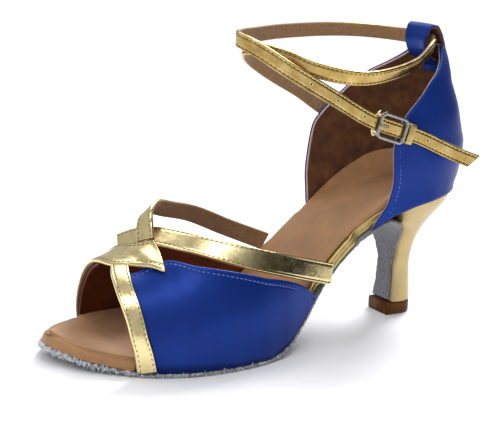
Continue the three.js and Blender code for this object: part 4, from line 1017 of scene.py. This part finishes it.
def build_buckle():
    """Buckle: a squared section swept round a round-cornered frame, and a tapered prong on a spline."""
    points, away = round_frame(BUCKLE_LENGTH - BUCKLE_BAR, BUCKLE_OPENING + BUCKLE_BAR, 2.3)
    angle = np.linspace(0, 2 * math.pi, 20, endpoint=False)
    wide = BUCKLE_BAR / 2 * squared(np.cos(angle), 0.55)
    tall = BUCKLE_HALF * squared(np.sin(angle), 0.55)
    flat = points[:, None] + away[:, None] * wide[None, :, None]
    grid = in_buckle(flat[..., 0], flat[..., 1], BUCKLE_OUT + BUCKLE_HALF + tall[None])
    sweep("buckle_ring", grid, looks("nickel"), ["buckle_frame"], ring=True)
    low, bar, reach = BUCKLE_OUT + 0.6, BUCKLE_BAR - BUCKLE_LENGTH / 2, 3.6
    high = low + 1.6
    path = spline(np.array([[bar + reach, 0, low], [bar + reach / 2, 0, (low + high) / 2],
                            [bar, 0, high], [bar - BUCKLE_BAR, 0, high]]), np.linspace(0, 1, 26))
    radius = 0.62 * np.clip(np.linspace(1.6, 0, 26) * 3, 0.25, 1)
    ring = tube(path, radius, 12)
    sweep("buckle_pin", in_buckle(*np.moveaxis(ring, -1, 0)), looks("nickel"),
          ["buckle_prong"])


def build_anchor():
    """Anchor strap: a band widened beside the bar by a bell curve, and a keeper swept round both."""
    start, end, lobes, behind = -8.4, 17, -6.6, -2.2
    across, out = rounded(ANKLE_WIDTH, ANCHOR_THICK, 0, crown=0.05, groove=0.0)
    x = np.linspace(start, end, 70)[:, None]
    wide = 1 + 0.75 * np.exp(-((x - lobes) / 1.5) ** 2) - 0.35 * np.exp(-((x + 8.6) / 0.5) ** 2)
    grid = in_buckle(x + 0 * across, across * wide, out + behind)
    sweep("anchor_band", grid, looks("gold_foil", "strap_lining"), ["buckle_anchor_strap"],
          strap_sides())
    points, away = round_frame(KEEPER_WIDE - ANCHOR_THICK, KEEPER_DEEP - ANCHOR_THICK, 0.7, 6)
    angle = np.linspace(0, 2 * math.pi, 14, endpoint=False)
    thick = ANCHOR_THICK / 2 * squared(np.cos(angle), 0.6)
    wide = KEEPER_LENGTH / 2 * squared(np.sin(angle), 0.45)
    flat = points[:, None] + away[:, None] * thick[None, :, None]
    middle = ANCHOR_LENGTH / 2 - KEEPER_LENGTH / 2
    sweep("keeper_band", in_buckle(middle + wide[None], flat[..., 0], flat[..., 1]), looks("gold_rim"),
          ring=True)


# Heel

def heel_ring(share, height, trim, count=60):
    """Section of the heel: flat in front, a superellipse round its back."""
    share, height, trim = (np.asarray(v, float)[:, None] for v in (share, height, trim))
    back = lookup(HEEL[:, 0], HEEL[:, 1], share) * LENGTH + trim
    breast = lookup(HEEL[:, 0], HEEL[:, 2], share) * LENGTH
    half = lookup(HEEL[:, 0], HEEL[:, 3], share) * WIDTH - trim
    widest = mix(breast, back, HEEL_WIDEST)
    angle = np.linspace(-math.pi / 2, math.pi / 2, count)[None]
    power = 2 / HEEL_SQUARENESS
    x = np.concatenate([-breast, -mix(widest, back, squared(np.cos(angle), power)), -breast], 1)
    y = np.concatenate([-half * 0.95, half * squared(np.sin(angle), power), half * 0.95], 1)
    return np.stack([x, y, height + 0 * x], -1)


def build_heel():
    """Flared heel and its top piece: stacked sections, kept behind the flap and under the board."""
    share = np.linspace(0, HEEL_TOP, 110)
    height = mix(TIP_THICK + CLEAR, RISE, share)
    grid = heel_ring(share, height, 0 * share)
    upright = 60
    x, z = (values[:upright] for values in rungs()[:2])
    order = np.argsort(z)
    ahead = np.interp(grid[..., 2], z[order], x[order]) + SOLE_THICK + CLEAR
    grid[..., 0] = np.maximum(grid[..., 0], ahead)
    ceiling = sole_rise(np.clip(-grid[..., 0] / LENGTH, 0, 1), SOLE_THICK)
    grid[..., 2] = np.minimum(grid[..., 2], ceiling)
    sweep("heel_cover", grid, looks("heel_gold"), ["heel_block"])
    height = np.array([0, 0.25, 0.6, 1.2, 3, 5, 5.7, TIP_THICK])
    trim = np.array([0.7, 0.3, 0.08, 0, 0, 0, 0.08, 0.3])
    sweep("heel_top_piece", heel_ring(0 * height, height, trim), looks("tip_rubber"),
          ["heel_tip"])


# Stage

def camera_turn(azimuth, elevation, roll):
    """Camera axes: right, up and back, from the view's angles and the camera's roll."""
    a, e, r = (math.radians(v) for v in (azimuth, elevation, roll))
    back = Vector((math.sin(a) * math.cos(e), -math.cos(a) * math.cos(e), math.sin(e)))
    right = Vector((math.cos(a), math.sin(a), 0))
    up = back.cross(right)
    return right * math.cos(r) + up * math.sin(r), up * math.cos(r) - right * math.sin(r), back


def build_camera():
    """Camera at the photograph's angle, 600 mm from the middle of the shoe."""
    right, up, back = camera_turn(AZIMUTH, ELEVATION, ROLL)
    target = Vector(((OFFSET[0] - TARGET_AHEAD) / 1000, OFFSET[1] / 1000, TARGET_RISE))
    camera = bpy.data.objects.new("camera", bpy.data.cameras.new("camera"))
    bpy.context.scene.collection.objects.link(camera)
    turn = Matrix((right, up, back)).transposed().to_4x4()
    camera.matrix_world = Matrix.Translation(target + back * CAMERA_AWAY) @ turn
    camera.data.sensor_width = SENSOR
    camera.data.lens = FOCAL_PIXELS * SENSOR / PICTURE_WIDTH
    camera.data.clip_start = 0.01
    bpy.context.scene.camera = camera


def lamp(name, place, target, size, power):
    """A white square soft light that looks at the target."""
    data = bpy.data.lights.new(name, "AREA")
    data.size, data.energy = size, power
    made = bpy.data.objects.new(name, data)
    made.matrix_world = Matrix.Translation(place) @ (
        Vector(place) - Vector(target)).to_track_quat("Z", "Y").to_matrix().to_4x4()
    bpy.context.scene.collection.objects.link(made)


def build_world():
    """White studio with one dark side for the foil to mirror; the camera itself sees plain white."""
    world = bpy.data.worlds.new("studio")
    world.use_nodes = True
    tree = world.node_tree
    tree.nodes.clear()
    where = add(tree, "ShaderNodeTexCoord", {}).outputs["Generated"]
    toward = add(tree, "ShaderNodeVectorMath", {0: where, 1: (0.85, -0.5, -0.15)},
                 operation="DOT_PRODUCT").outputs["Value"]
    place = add(tree, "ShaderNodeMapRange", {"Value": toward, "From Min": -1.0, "From Max": 1.0}).outputs[0]
    tint = ramp(tree, place, [(0.0, "ffffff"), (0.66, "f0f0f4"), (0.86, "77777a"), (0.98, "1c1c1d")])
    around = add(tree, "ShaderNodeBackground", {"Color": tint, "Strength": 0.55})
    white = add(tree, "ShaderNodeBackground", {"Color": colour("ffffff"), "Strength": 1.0})
    seen = add(tree, "ShaderNodeLightPath", {}).outputs["Is Camera Ray"]
    both = add(tree, "ShaderNodeMixShader", {0: seen, 1: around.outputs[0], 2: white.outputs[0]})
    add(tree, "ShaderNodeOutputWorld", {"Surface": both.outputs[0]})
    bpy.context.scene.world = world


def build_stage(light):
    """Floor, lights, world and camera."""
    line = np.linspace(-3000, 3000, 25)
    x, y = np.meshgrid(line, line, indexing="ij")
    mesh = bpy.data.meshes.new("floor")
    points = np.stack([x, y, 0 * x], -1).reshape(-1, 3) / 1000
    mesh.from_pydata(points.tolist(), [], quads(25, 25, closed_sides=False).tolist())
    if mesh.polygons[0].normal.z < 0:
        mesh.flip_normals()
    mesh.materials.append(look("floor_white"))
    floor = bpy.data.objects.new("floor", mesh)
    bpy.context.scene.collection.objects.link(floor)
    lamp("softbox_top", (0.15, 0.5, 1.0), (0, 0, 0.04), 0.8, 5 * light)
    lamp("softbox_toe", (-0.75, -0.3, 0.75), (-0.03, 0, 0.04), 0.3, 1.6 * light)
    lamp("softbox_front", (-0.2, -0.42, 0.75), (-0.04, -0.03, 0.04), 0.42, 1.8 * light)
    sun = bpy.data.lights.new("ceiling", "SUN")
    sun.energy, sun.angle = 3.1 * light, math.radians(24)
    made = bpy.data.objects.new("ceiling", sun)
    made.matrix_world = Vector((0.8, 0.6, 0.85)).to_track_quat("Z", "Y").to_matrix().to_4x4()
    bpy.context.scene.collection.objects.link(made)
    build_world()
    build_camera()
    bpy.context.scene.view_settings.view_transform = "Standard"


# Add-on

class SandalSettings(bpy.types.PropertyGroup):
    """Sizes and amounts of the looks."""
    stitch_pitch: bpy.props.FloatProperty(
        name="Stitch pitch", description="Distance between stitches, in millimetres", default=2.2,
        min=0.5)
    fray: bpy.props.FloatProperty(
        name="Fray", description="How far the cut edge of the suede wanders, in millimetres",
        default=0.3, min=0)
    light: bpy.props.FloatProperty(
        name="Light", description="Strength of the studio lights", default=1.0, min=0)


class SANDAL_OT_outsole(bpy.types.Operator):
    """Build the suede sole and its torn fibres"""
    bl_idname, bl_label = "sandal.outsole", "Suede sole"

    def execute(self, context):
        chance = np.random.default_rng(7)
        build_suede(context.scene.sandal.fray, chance)
        build_fibres(context.scene.sandal.fray, chance)
        return {"FINISHED"}


class SANDAL_OT_insole(bpy.types.Operator):
    """Build the board and the padded sock"""
    bl_idname, bl_label = "sandal.insole", "Insole"

    def execute(self, context):
        build_board()
        build_sock()
        return {"FINISHED"}


class SANDAL_OT_panels(bpy.types.Operator):
    """Build the two side panels of the vamp"""
    bl_idname, bl_label = "sandal.panels", "Side panels"

    def execute(self, context):
        build_panel(-1, "panel_outer", ["vamp_panel_lateral"])
        build_panel(1, "panel_inner", ["vamp_panel_medial"])
        return {"FINISHED"}


class SANDAL_OT_straps(bpy.types.Operator):
    """Build the four straps of the vamp"""
    bl_idname, bl_label = "sandal.straps", "Vamp straps"

    def execute(self, context):
        build_vamp_straps(context.scene.sandal.stitch_pitch)
        return {"FINISHED"}


class SANDAL_OT_cup(bpy.types.Operator):
    """Build the heel cup"""
    bl_idname, bl_label = "sandal.cup", "Heel cup"

    def execute(self, context):
        build_counter()
        return {"FINISHED"}


class SANDAL_OT_loop(bpy.types.Operator):
    """Build the back loop"""
    bl_idname, bl_label = "sandal.loop", "Back loop"

    def execute(self, context):
        build_back_loop()
        return {"FINISHED"}


class SANDAL_OT_ankle(bpy.types.Operator):
    """Build the ankle strap with its holes"""
    bl_idname, bl_label = "sandal.ankle", "Ankle strap"

    def execute(self, context):
        build_ankle_strap(context.scene.sandal.stitch_pitch)
        return {"FINISHED"}


class SANDAL_OT_buckle(bpy.types.Operator):
    """Build the buckle's frame and prong"""
    bl_idname, bl_label = "sandal.buckle", "Buckle"

    def execute(self, context):
        build_buckle()
        return {"FINISHED"}


class SANDAL_OT_anchor(bpy.types.Operator):
    """Build the anchor strap and its keeper"""
    bl_idname, bl_label = "sandal.anchor", "Anchor strap"

    def execute(self, context):
        build_anchor()
        return {"FINISHED"}


class SANDAL_OT_heel(bpy.types.Operator):
    """Build the heel and its top piece"""
    bl_idname, bl_label = "sandal.heel", "Heel"

    def execute(self, context):
        build_heel()
        return {"FINISHED"}


class SANDAL_OT_stage(bpy.types.Operator):
    """Build the floor, the lights and the camera"""
    bl_idname, bl_label = "sandal.stage", "Stage"

    def execute(self, context):
        build_stage(context.scene.sandal.light)
        return {"FINISHED"}


OPERATORS = (
    SANDAL_OT_outsole, SANDAL_OT_insole, SANDAL_OT_panels, SANDAL_OT_straps, SANDAL_OT_cup,
    SANDAL_OT_loop, SANDAL_OT_ankle, SANDAL_OT_buckle, SANDAL_OT_anchor, SANDAL_OT_heel,
    SANDAL_OT_stage)


class SANDAL_PT_panel(bpy.types.Panel):
    """Buttons and settings of the sandal"""
    bl_idname, bl_label = "SANDAL_PT_panel", "Ballroom sandal"
    bl_space_type, bl_region_type, bl_category = "VIEW_3D", "UI", "Sandal"

    def draw(self, context):
        for name in ("stitch_pitch", "fray", "light"):
            self.layout.prop(context.scene.sandal, name)
        for operator in OPERATORS:
            self.layout.operator(operator.bl_idname)


CLASSES = (SandalSettings, *OPERATORS, SANDAL_PT_panel)


def register():
    """Register the classes and the settings."""
    for one in CLASSES:
        bpy.utils.register_class(one)
    bpy.types.Scene.sandal = bpy.props.PointerProperty(type=SandalSettings)


def unregister():
    """Take the settings and the classes out again."""
    del bpy.types.Scene.sandal
    for one in reversed(CLASSES):
        bpy.utils.unregister_class(one)


def main():
    """Build every piece in order."""
    register()
    sandal = bpy.ops.sandal
    for build in (sandal.outsole, sandal.insole, sandal.panels, sandal.straps, sandal.cup, sandal.loop,
                  sandal.ankle, sandal.buckle, sandal.anchor, sandal.heel, sandal.stage):
        build()


if __name__ == "__main__":
    main()
